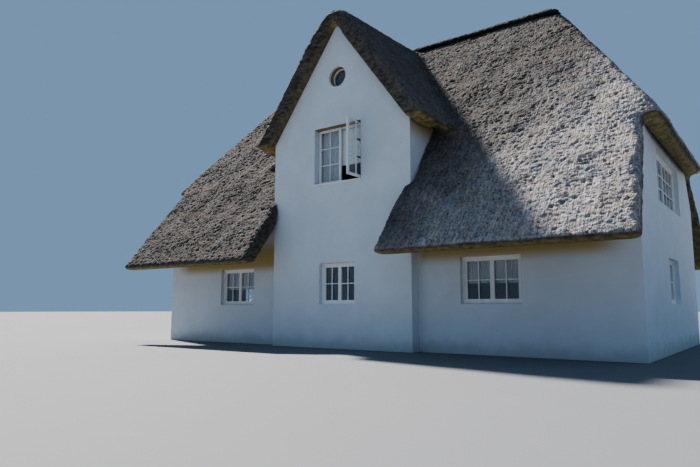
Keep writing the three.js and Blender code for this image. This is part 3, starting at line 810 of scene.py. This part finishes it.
def iron_material(look):
    """Dark wrought iron, a little rough."""
    material, tree, shader = new_material("wrought_iron", Metallic=0.6)
    place = object_place(tree)
    dark, light = rgba(look.iron), rgba(look.iron, 2.0)
    patches = group_node(tree, "Mottling", Vector=place, Scale=60.0, Dark=dark, Light=light)
    rough = range_node(tree, patches["Mask"], 0.0, 1.0, 0.45, 0.7)
    normal = bumps(tree, place, Scale=120.0, Strength=0.4, Distance=0.003)
    feed(tree, shader, {"Base Color": patches["Color"], "Roughness": rough, "Normal": normal})
    return material


def cloth_material(look):
    """Thin white net with woven threads."""
    dull = rgba(look.net, 0.92)
    bump = {"Scale": 260.0, "Strength": 0.25, "Distance": 0.002}
    stretch = ((1.0, 1.0, 0.4), None)
    return mottled_material("white_net", dull, look.net, {"Scale": 30.0}, bump, stretch, Roughness=0.9)


def floor_material(look):
    """Plain pale studio floor."""
    material, tree, shader = new_material("studio_floor", Roughness=0.9)
    colour = mottling(tree, object_place(tree), rgba(look.floor, 0.97), rgba(look.floor), Scale=0.2)
    feed(tree, shader, {"Base Color": colour})
    return material


# Materials made so far, by maker and name
MADE = {}


def shared(maker, *values):
    """Material made once and used again."""
    name = maker.__name__ + "".join(str(v) for v in values if isinstance(v, str))
    if name not in MADE:
        MADE[name] = maker(*values)
    return MADE[name]


# Settings


def colour_property(name, description, default):
    """Colour that a user may change."""
    return bpy.props.FloatVectorProperty(
        name=name, description=description, subtype="COLOR", size=3, min=0.0, max=1.0, default=default
    )


def length_property(name, description, default, low, high):
    """Length in metres that a user may change."""
    return bpy.props.FloatProperty(
        name=name, description=description, unit="LENGTH", min=low, max=high, default=default
    )


def number_property(name, description, default, **settings):
    """Number that a user may change."""
    return bpy.props.FloatProperty(name=name, description=description, min=0.0, default=default, **settings)


class CottageThatchLook(bpy.types.PropertyGroup):
    """Sizes and colours of the thatch."""

    cell: length_property("Cell", "Size of the faces under the thatch", 0.068, 0.03, 0.3)
    tuft: length_property("Tuft", "Width of one tuft of reed", 0.10, 0.05, 0.4)
    relief: length_property("Relief", "Depth of the hollow_shades between tufts", 0.05, 0.0, 0.1)
    sway: length_property("Sway", "Depth of the slow swells of a slope", 0.04, 0.0, 0.2)
    tip: colour_property("Tips", "Colour of the bleached reed tips", (0.335, 0.305, 0.285))
    reed: colour_property("Reed", "Colour of the weathered reed", (0.165, 0.148, 0.138))
    # Darkest tone: partly the reed's own and partly painted shade in the hollows
    hollow_shade: colour_property("Hollows", "Colour of the hollow_shades", (0.032, 0.027, 0.026))
    cut: colour_property("Cut reed", "Colour of reed where it is cut", (0.165, 0.135, 0.105))
    cut_dark: colour_property("Cut reed shade", "Darker layers of cut reed", (0.048, 0.042, 0.037))
    # Partly the reed's own sheltered tone and partly painted warm light bounced up from the ground
    under: colour_property("Underside", "Colour of the sheltered underside", (0.40, 0.32, 0.14))
    lichen: colour_property("Lichen", "Colour of the grey lichen", (0.17, 0.19, 0.21))
    cap: colour_property("Capping", "Colour of the ridge capping", (0.042, 0.038, 0.037))
    cap_dark: colour_property("Capping shade", "Dark parts of the capping", (0.015, 0.014, 0.015))


class CottageWallLook(bpy.types.PropertyGroup):
    """Colours and rounding of the walls and floors."""

    rounding: length_property("Rounding", "Rounding of the corners of the render", 0.014, 0.0, 0.05)
    # Its faint blue is painted cool shade, standing in for the skylight on the walls in shade
    render: colour_property("Render", "Colour of the lime render", (0.775, 0.81, 0.85))
    damp: colour_property("Damp", "Colour of the damp foot of the walls", (0.42, 0.42, 0.36))
    # Painted shade with warm bounced light, for the render close under the thatch
    stain: colour_property("Stain", "Colour of the render close under the thatch", (0.50, 0.39, 0.17))
    stone: colour_property("Stone", "Colour of the ground floor", (0.42, 0.39, 0.34))


class CottageJoineryLook(bpy.types.PropertyGroup):
    """Colours and edges of the windows and the door."""

    edge: length_property("Edge", "Rounding of the edges of the joinery", 0.003, 0.0, 0.01)
    paint: colour_property("Paint", "Colour of the window paint", (0.93, 0.93, 0.92))
    worn: colour_property("Worn paint", "Colour of dull paint", (0.83, 0.83, 0.81))
    door: colour_property("Door", "Colour of the door paint", (0.028, 0.07, 0.06))
    glass: colour_property("Glass", "Tint of the window glass", (0.95, 0.98, 0.99))
    lining: colour_property("Lining", "Colour of the oak lining of the openings", (0.37, 0.27, 0.13))
    iron: colour_property("Iron", "Colour of the hinges", (0.035, 0.035, 0.038))
    net: colour_property("Net", "Colour of the curtains", (0.93, 0.94, 0.95))


class CottageStageLook(bpy.types.PropertyGroup):
    """Light, floor and camera."""

    floor: colour_property("Floor", "Colour of the floor", (0.165, 0.17, 0.18))
    sky: colour_property("Sky", "Colour of the soft light all round", (0.42, 0.665, 1.0))
    sky_strength: number_property("Sky strength", "Strength of the soft light all round", 0.43)
    key_strength: number_property("Key strength", "Strength of the key light", 11.0)
    key_angle: number_property(
        "Key size",
        "Angle that the key light fills, which softens its shadows",
        math.radians(3.5),
        subtype="ANGLE",
    )
    lens: number_property("Lens", "Focal length in millimetres on a 36 mm sensor", 30.56)


# Thatch


def pattern(name, kind, size, **settings):
    """Solid pattern that a displace modifier reads."""
    texture = bpy.data.textures.new(name, kind)
    texture.noise_scale = size
    for key, value in settings.items():
        setattr(texture, key, value)
    return texture


def displace(obj, texture, strength, group="", middle=0.5, direction="NORMAL"):
    """Moves the surface in and out by a pattern."""
    ways = {"mid_level": middle, "texture_coords": "LOCAL", "direction": direction, "vertex_group": group}
    apply_modifier(obj, "DISPLACE", texture=texture, strength=strength, **ways)


def weight_group(obj, name, weights):
    """Vertex group with a weight for each vertex, in even steps."""
    group = obj.vertex_groups.new(name=name)
    steps = np.round(weights * WEIGHT_STEPS).astype(int)
    for step in range(1, WEIGHT_STEPS + 1):
        chosen = np.nonzero(steps == step)[0]
        if len(chosen):
            group.add(chosen.tolist(), step / WEIGHT_STEPS, "REPLACE")


def near_segment(points, start, end):
    """Distance from each point to a straight line between two places."""
    start = np.array(start)
    along = np.array(end) - start
    share = np.clip((points - start) @ along / (along @ along), 0, 1)
    return np.linalg.norm(points - start - share[:, None] * along, axis=1)


def soften_creases(obj):
    """Rounds the valleys, the gable's nose and the ends of the ridge more than the rest."""
    folded = corners_of(obj)
    folded[:, 0] = np.abs(folded[:, 0])
    near = np.min([near_segment(folded, start, end) for start, end in CREASES], axis=0)
    weights = 1 - smooth_step(near, *CREASE_REACH)
    for spot in SHARP_SPOTS:
        far = np.linalg.norm(folded - np.array(spot), axis=1)
        weights = np.maximum(weights, 1 - smooth_step(far, *SPOT_REACH))
    weight_group(obj, "crease", weights)
    smooth(obj, CREASE_PASSES, "crease")
    obj.vertex_groups.clear()


def refine_outside(obj):
    """Halves the faces that show from outside and above."""
    edit_some(obj, "FACE", rows_of(obj.data.polygons, "normal")[:, 2] > HALVED_FROM)
    bpy.ops.mesh.subdivide(number_cuts=1, smoothness=0.0)
    close_edit()


def cut_off(obj, point, normal, name):
    """Cuts a body in two closed bodies. The new one is on the side that the normal points to."""
    other = bpy.data.objects.new(name, obj.data.copy())
    bpy.context.scene.collection.objects.link(other)
    for piece, inner in ((obj, False), (other, True)):
        edit(piece, "FACE")
        sides = {"clear_inner": inner, "clear_outer": not inner}
        bpy.ops.mesh.bisect(plane_co=point, plane_no=normal, use_fill=True, **sides)
        bpy.ops.mesh.region_to_loop()
        bpy.ops.mesh.mark_sharp()
        close_edit()
    return other


def thatch_body(look):
    """All thatch in one closed body."""
    cell = look.cell * 1.0
    copies = [merged_copy(node, "reed_" + node) for node in THATCH_NODES]
    for copy in copies:
        swell(copy, OVERLAP)
    body = joined(copies, "reed")
    apply_modifier(body, "REMESH", mode="VOXEL", voxel_size=cell, use_smooth_shade=True)
    smooth(body, SMOOTH_PASSES)
    soften_creases(body)
    refine_outside(body)
    smooth(body, LAST_PASSES)
    return body


def roughen_thatch(body, look):
    """Sway, tufts and hollows, with the numbers that the material reads."""
    weight_group(body, "outside", smooth_step(normals_of(body)[:, 2], *OUTSIDE_RANGE))
    displace(body, pattern("sway", "CLOUDS", SWAY_SIZE, noise_depth=1), look.sway, "outside")
    lumps = pattern("lumps", "CLOUDS", LUMP_SIZE, noise_depth=2)
    displace(body, lumps, look.sway * LUMP_DEPTH, "outside")
    before = corners_of(body)
    normals = normals_of(body)
    keep_value(body, "cut", 1 - smooth_step(normals[:, 2], *TOP_RANGE))
    keep_value(body, "under", smooth_step(-normals[:, 2], *UNDER_RANGE))
    facing_side = np.abs(normals[:, 0]) - np.abs(normals[:, 1])
    keep_value(body, "side", smooth_step(facing_side, *SIDE_RANGE))
    clumps = pattern("clumps", "CLOUDS", look.tuft * CLUMP_SIZE, noise_depth=2)
    tufts = pattern("tufts", "VORONOI", look.tuft, distance_metric="DISTANCE")
    curls = pattern("curls", "CLOUDS", look.tuft * CURL_SIZE, noise_depth=2, noise_type="HARD_NOISE")
    displace(body, clumps, look.relief * CLUMP_DEPTH, "outside")
    displace(body, tufts, -look.relief * TUFT_DEPTH, "outside", TUFT_MIDDLE)
    displace(body, curls, -look.relief * CURL_DEPTH, "outside", CURL_MIDDLE)
    # How far each place moved is kept, so that the material paints shade in the hollows
    moved = ((corners_of(body) - before) * normals).sum(axis=1)
    keep_value(body, "pit", np.clip(0.5 + moved / (RELIEF_SHADE_SPREAD * look.relief), 0, 1))
    body.vertex_groups.clear()


class COTTAGE_OT_thatch(bpy.types.Operator):
    """Make the reed thatch as one rough body, cut in pieces"""

    bl_idname = "cottage.thatch"
    bl_label = "Thatch"

    def execute(self, context):
        look = context.scene.cottage_thatch
        body = thatch_body(look)
        roughen_thatch(body, look)
        slope = Vector((0, -ROOF_SLOPE, 1)).normalized()
        above = Vector((0, 0, RIDGE_Z)) + slope * GABLE_CUT
        gable = cut_off(body, above, slope, "reed_gable")
        rear = cut_off(body, (0, 0, 0), (0, 1, 0), "reed_rear_left")
        front_right = cut_off(body, (0, 0, 0), (1, 0, 0), "reed_front_right")
        rear_right = cut_off(rear, (0, 0, 0), (1, 0, 0), "reed_rear_right")
        body.name = "reed_front_left"
        material = shared(reed_material, look)
        finish_piece(gable, material, "thatch", "thatch_gable")
        finish_piece(body, material, "thatch", "thatch_front_left", "thatch_hip_left")
        finish_piece(front_right, material, "thatch", "thatch_front_right", "thatch_hip_right")
        finish_piece(rear, material, "thatch", "thatch_rear", "thatch_hip_left")
        finish_piece(rear_right, material, "thatch", "thatch_rear", "thatch_hip_right")
        return {"FINISHED"}


class COTTAGE_OT_ridge_capping(bpy.types.Operator):
    """Make the dark capping along the main ridge"""

    bl_idname = "cottage.ridge_capping"
    bl_label = "Ridge capping"

    def execute(self, context):
        look = context.scene.cottage_thatch
        cap = merged_copy("ridge_cap", "ridge_capping")
        apply_modifier(cap, "REMESH", mode="VOXEL", voxel_size=CAP_CELL, use_smooth_shade=True)
        smooth(cap, SMOOTH_PASSES)
        displace(cap, pattern("cap_sway", "CLOUDS", SWAY_SIZE, noise_depth=1), look.sway)
        displace(cap, pattern("heather", "CLOUDS", HEATHER_SIZE, noise_depth=2), HEATHER_DEPTH)
        finish_piece(cap, shared(cap_material, look), "ridge_cap", "ridge_cap")
        return {"FINISHED"}


# Walls and floors


class COTTAGE_OT_walls(bpy.types.Operator):
    """Make the rendered walls in one skin with rounded corners"""

    bl_idname = "cottage.walls"
    bl_label = "Walls"

    def execute(self, context):
        look = context.scene.cottage_walls
        copies = [merged_copy(node, "render_" + node) for node in WALL_NODES]
        for copy in copies:
            swell(copy, OVERLAP)
        walls = copies[0]
        for other in copies[1:]:
            apply_modifier(walls, "BOOLEAN", operation="UNION", solver="EXACT", object=other)
            bpy.data.objects.remove(other)
        walls.name = "rendered_walls"
        flatten(walls, FLATTEN)
        edit(walls)
        bpy.ops.mesh.dissolve_limited(angle_limit=math.radians(WALL_FLAT_ANGLE))
        close_edit()
        round_edges(walls, look.rounding, segments=3)
        edit(walls)
        bpy.ops.mesh.delete_loose(use_verts=True, use_edges=True, use_faces=False)
        close_edit()
        even_shading(walls)
        finish_piece(walls, shared(render_material, look), "render", *WALL_NODES)
        return {"FINISHED"}


class COTTAGE_OT_floors(bpy.types.Operator):
    """Give the ground floor stone flags and the attic floor boards"""

    bl_idname = "cottage.floors"
    bl_label = "Floors"

    def execute(self, context):
        look = context.scene.cottage_walls
        dress("ground_floor", shared(stone_material, look))
        dress("attic_floor", shared(wood_material, "floor_boards", *BOARD_TONES, (1.0, 0.06, 1.0)))
        return {"FINISHED"}


def dress(node, material):
    """Gives a solid that stays as it is its material."""
    NODES[node].data.materials.clear()
    NODES[node].data.materials.append(material)


# Windows and door


def painted_copy(node, edge):
    """Copy of a joinery solid with its edges rounded."""
    return rounded(merged_copy(node, "painted_" + node), edge)


class COTTAGE_OT_windows(bpy.types.Operator):
    """Make the painted frames and leaves of all windows"""

    bl_idname = "cottage.windows"
    bl_label = "Windows"

    def execute(self, context):
        look = context.scene.cottage_joinery
        paint = shared(painted_material, "white_paint", look.paint, look.worn, 0.45)
        for name in (*[window + "_frame" for window in FIXED_WINDOWS], *OTHER_JOINERY):
            finish_piece(painted_copy(name, look.edge), paint, "joinery", name)
        return {"FINISHED"}


class COTTAGE_OT_glass(bpy.types.Operator):
    """Give every pane its glass"""

    bl_idname = "cottage.glass"
    bl_label = "Glass"

    def execute(self, context):
        look = context.scene.cottage_joinery
        glass = shared(glass_material, look)
        for window in (*FIXED_WINDOWS, "round_window"):
            dress(window + "_glass", glass)
        for side in ("left", "right"):
            dress("upper_glass_" + side, glass)
        return {"FINISHED"}


class COTTAGE_OT_door(bpy.types.Operator):
    """Make the rear door and its frame"""

    bl_idname = "cottage.door"
    bl_label = "Rear door"

    def execute(self, context):
        look = context.scene.cottage_joinery
        paint = shared(painted_material, "white_paint", look.paint, look.worn, 0.45)
        frame_piece = painted_copy("rear_door_frame", look.edge)
        finish_piece(frame_piece, paint, "joinery", "rear_door_frame")
        door_paint = shared(painted_material, "door_paint", look.door, rgba(look.door, 0.8), 0.4)
        finish_piece(boarded_door(), door_paint, "door_paint", "rear_door")
        return {"FINISHED"}


def primitive(name, kind, scale=(1.0, 1.0, 1.0), **settings):
    """New piece from one of the plain shapes, its place and scale applied."""
    deselect()
    getattr(bpy.ops.mesh, f"primitive_{kind}_add")(**settings)
    obj = bpy.context.object
    obj.name = name
    obj.scale = scale
    bpy.ops.object.transform_apply(location=True, rotation=True, scale=True)
    return obj


def box_piece(name, low, high, edge):
    """Piece between two corners with its edges rounded."""
    middle = [(high[i] + low[i]) / 2 for i in range(3)]
    size = [high[i] - low[i] for i in range(3)]
    return rounded(primitive(name, "cube", size, size=1.0, location=middle), edge)


def pin(name, place, radius, length):
    """Upright round pin with rounded ends."""
    obj = primitive(name, "cylinder", vertices=16, radius=radius, depth=length, location=place)
    return rounded(obj, radius * IRON_ROUNDING)


# Fittings and curtains


def strap_hinge(name, corner, along, out, length):
    """Iron strap on a leaf with its pin: along points over the leaf and out away from it."""
    corner = Vector(corner)
    along = Vector(along)
    out = Vector(out)
    far = corner + along * length + out * HINGE_THICK + Vector((0, 0, HINGE_HIGH))
    low = [min(corner[i], far[i]) for i in range(3)]
    high = [max(corner[i], far[i]) for i in range(3)]
    strap = box_piece(name, low, high, HINGE_THICK * IRON_ROUNDING)
    place = corner + out * HINGE_PIN * PIN_OUT + Vector((0, 0, HINGE_HIGH / 2))
    knuckle = pin(name + "_pin", place, HINGE_PIN, HINGE_HIGH * PIN_LONG)
    return joined([strap, knuckle], name)


def lining_ring(name, middle, outer, inner, front, back):
    """Ring that lines a round opening in a wall that faces -Y."""
    front_centre = (middle[0], front, middle[1])
    back_centre = (middle[0], back, middle[1])
    turned = (math.radians(90), 0, 0)
    circle = {"vertices": 96, "radius": outer, "fill_type": "NOTHING"}
    obj = primitive(name, "circle", **circle, location=front_centre, rotation=turned)
    edit(obj)
    for reach, share, centre in (
        (back - front, inner / outer, back_centre),
        (front - back, outer / inner, front_centre),
    ):
        bpy.ops.mesh.extrude_region_move(TRANSFORM_OT_translate={"value": (0, reach, 0)})
        bpy.ops.mesh.extrude_region()
        bpy.ops.transform.resize(value=(share, 1, share), center_override=centre)
    bpy.ops.mesh.select_all(action="SELECT")
    bpy.ops.mesh.remove_doubles(threshold=WELD)
    bpy.ops.mesh.normals_make_consistent(inside=False)
    close_edit()
    return rounded(obj, LINING_EDGE)


def first_strip(name, left, bottom, top, depth):
    """Narrow strip at the left of a curtain with its right edges chosen, and how far right it reaches."""
    strip = {"x_subdivisions": 1, "y_subdivisions": CURTAIN_ROWS, "size": 1.0}
    middle = (left + CURTAIN_START / 2, depth, (bottom + top) / 2)
    size = (CURTAIN_START, top - bottom, 1.0)
    turned = (math.radians(90), 0, 0)
    obj = primitive(name, "grid", size, **strip, location=middle, rotation=turned)
    across = corners_of(obj)[:, 0]
    right = across > across.max() - CURTAIN_START / 2
    edit_some(obj, "EDGE", [bool(right[list(line.vertices)].all()) for line in obj.data.edges])
    return obj, float(across.max())


def curtain(name, left, right, bottom, top, depth):
    """Pleated net curtain that hangs inside a window. It is cut wider than the opening."""
    obj, start = first_strip(name, left, bottom, top, depth)
    steps = round((right - left) / PLEAT_STEP)
    step = (right - start) / steps
    cut = CURTAIN_START
    at = 0.0
    for count in range(1, steps + 1):
        turn = count * PLEAT_STEP / PLEAT_WIDTH * 2 * math.pi
        aim = PLEAT_DEPTH * math.sin(turn) * (1 + PLEAT_CHANGE * math.sin(turn * PLEAT_BEAT + 1.0))
        bpy.ops.mesh.extrude_region_move(TRANSFORM_OT_translate={"value": (step, aim - at, 0)})
        cut += math.hypot(step, aim - at)
        at = aim
    close_edit()
    displace(obj, pattern("drape", "CLOUDS", DRAPE_SIZE, noise_depth=1), DRAPE_DEPTH, direction="Y")
    apply_modifier(obj, "SOLIDIFY", thickness=CLOTH_THICK, offset=0.0)
    choose(obj)
    bpy.ops.object.shade_smooth()
    return obj


def boarded_door():
    """The rear door as upright boards on a backing, inside the solid's box."""
    low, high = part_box("rear_door")
    back = (low[0] + DOOR_INSET, low[1], low[2] + DOOR_INSET)
    face = (high[0] - DOOR_INSET, high[1] - BOARD_PROUD, high[2] - DOOR_INSET)
    parts = [box_piece("rear_door_boards", back, face, FINE_EDGE)]
    wide = (high[0] - low[0] + BOARD_GAP) / DOOR_BOARDS
    for number in range(DOOR_BOARDS):
        left = low[0] + number * wide
        board_low = (left, low[1] + BOARD_BACK, low[2])
        board_high = (left + wide - BOARD_GAP, high[1], high[2])
        parts.append(box_piece("board", board_low, board_high, BOARD_EDGE))
    return joined(parts, "rear_door_boards")


def door_handle(face):
    """Plate and upright grip on the outer face of the rear door."""
    parts = []
    for name, across, out, up, edge in HANDLE_PARTS:
        low, high = ((across[end], face + out[end], up[end]) for end in range(2))
        parts.append(box_piece(name, low, high, edge))
    x, out, z = HANDLE_GRIP
    parts.append(pin("grip", (x, face + out, z), GRIP_RADIUS, GRIP_LENGTH))
    return joined(parts, "door_handle")


class COTTAGE_OT_fittings(bpy.types.Operator):
    """Make the lining of the round window, the head board, the hinges and the door's handle"""

    bl_idname = "cottage.fittings"
    bl_label = "Fittings"

    def execute(self, context):
        look = context.scene.cottage_joinery
        timber = shared(wood_material, "oak", rgba(look.lining, 0.55), look.lining, (0.2, 1.0, 1.0))
        ring = lining_ring("round_window_lining", LINING_CENTRE, *LINING_RADII, *LINING_DEPTHS)
        finish_piece(ring, timber, "joinery")
        finish_piece(box_piece("upper_window_head", *HEAD_BOARD, FINE_EDGE), timber, "joinery")
        iron = shared(iron_material, look)
        for number, height in enumerate(HINGE_HEIGHTS):
            corner = (*UPPER_HINGE, height)
            hinge = strap_hinge(f"upper_hinge_{number}", corner, (0, -1, 0), (1, 0, 0), UPPER_STRAP)
            finish_piece(hinge, iron, "joinery")
        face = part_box("rear_door")[1][1] + FITTING_GAP
        for number, height in enumerate(DOOR_HINGES):
            corner = (DOOR_HINGE_LEFT, face, height)
            hinge = strap_hinge(f"door_hinge_{number}", corner, (1, 0, 0), (0, 1, 0), DOOR_STRAP)
            finish_piece(hinge, iron, "joinery")
        finish_piece(door_handle(face), iron, "joinery")
        return {"FINISHED"}


class COTTAGE_OT_curtains(bpy.types.Operator):
    """Hang the net curtains of the upper window and the front windows"""

    bl_idname = "cottage.curtains"
    bl_label = "Curtains"

    def execute(self, context):
        look = context.scene.cottage_joinery
        net = shared(cloth_material, look)
        for name, left, right, bottom, top, depth, window in CURTAINS:
            piece = curtain(name, left, right, bottom, top, depth)
            piece.data.materials.append(net)
            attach(piece, BODY)
        return {"FINISHED"}


# Stage


class COTTAGE_OT_stage(bpy.types.Operator):
    """Set the floor, the light and the camera"""

    bl_idname = "cottage.stage"
    bl_label = "Stage"

    def execute(self, context):
        look = context.scene.cottage_stage
        scene = context.scene
        deselect()
        place = (0, 0, FLOOR_Z)
        bpy.ops.mesh.primitive_circle_add(vertices=96, radius=FLOOR_RADIUS, fill_type="NGON", location=place)
        floor = bpy.context.object
        floor.name = "studio_floor"
        floor.data.materials.append(shared(floor_material, look))
        world = bpy.data.worlds.new("soft_sky")
        world.use_nodes = True
        background = world.node_tree.nodes["Background"]
        background.inputs["Color"].default_value = rgba(look.sky)
        background.inputs["Strength"].default_value = look.sky_strength
        scene.world = world
        key = bpy.data.lights.new("key", "SUN")
        key.energy = look.key_strength
        key.angle = look.key_angle
        key.color = KEY_COLOUR
        lamp = bpy.data.objects.new("key", key)
        scene.collection.objects.link(lamp)
        lamp.rotation_euler = Vector(TO_KEY).to_track_quat("Z", "Y").to_euler()
        camera = bpy.data.objects.new("camera", bpy.data.cameras.new("camera"))
        scene.collection.objects.link(camera)
        camera.location = CAMERA_PLACE
        camera.rotation_euler = (math.radians(90 + CAMERA_TILT), 0, math.radians(CAMERA_YAW))
        camera.data.lens = look.lens
        camera.data.sensor_width = SENSOR_WIDTH
        camera.data.clip_end = FAR_CLIP
        scene.camera = camera
        scene.view_settings.view_transform = "AgX"
        scene.view_settings.look = "AgX - Medium High Contrast"
        return {"FINISHED"}


# Steps, panel and start
SETTINGS = (
    ("cottage_thatch", CottageThatchLook),
    ("cottage_walls", CottageWallLook),
    ("cottage_joinery", CottageJoineryLook),
    ("cottage_stage", CottageStageLook),
)
STEPS = (
    COTTAGE_OT_walls,
    COTTAGE_OT_floors,
    COTTAGE_OT_thatch,
    COTTAGE_OT_ridge_capping,
    COTTAGE_OT_windows,
    COTTAGE_OT_glass,
    COTTAGE_OT_door,
    COTTAGE_OT_fittings,
    COTTAGE_OT_curtains,
    COTTAGE_OT_stage,
)


class COTTAGE_PT_panel(bpy.types.Panel):
    """Lists the steps that build the cottage"""

    bl_idname = "COTTAGE_PT_panel"
    bl_label = "Thatched cottage"
    bl_space_type = "VIEW_3D"
    bl_region_type = "UI"
    bl_category = "Cottage"

    def draw(self, context):
        for name, group in SETTINGS:
            box = self.layout.box()
            for key in group.__annotations__:
                box.prop(getattr(context.scene, name), key)
        for step in STEPS:
            self.layout.operator(step.bl_idname)


def register():
    """Registers the settings, the steps and the panel."""
    for name, group in SETTINGS:
        bpy.utils.register_class(group)
        setattr(bpy.types.Scene, name, bpy.props.PointerProperty(type=group))
    for step in STEPS:
        bpy.utils.register_class(step)
    bpy.utils.register_class(COTTAGE_PT_panel)


def unregister():
    """Takes everything back out."""
    bpy.utils.unregister_class(COTTAGE_PT_panel)
    for step in reversed(STEPS):
        bpy.utils.unregister_class(step)
    for name, group in reversed(SETTINGS):
        delattr(bpy.types.Scene, name)
        bpy.utils.unregister_class(group)


def main():
    """Registers the steps and builds the cottage."""
    register()
    for step in STEPS:
        area, action = step.bl_idname.split(".")
        getattr(getattr(bpy.ops, area), action)()


if __name__ == "__main__":
    main()
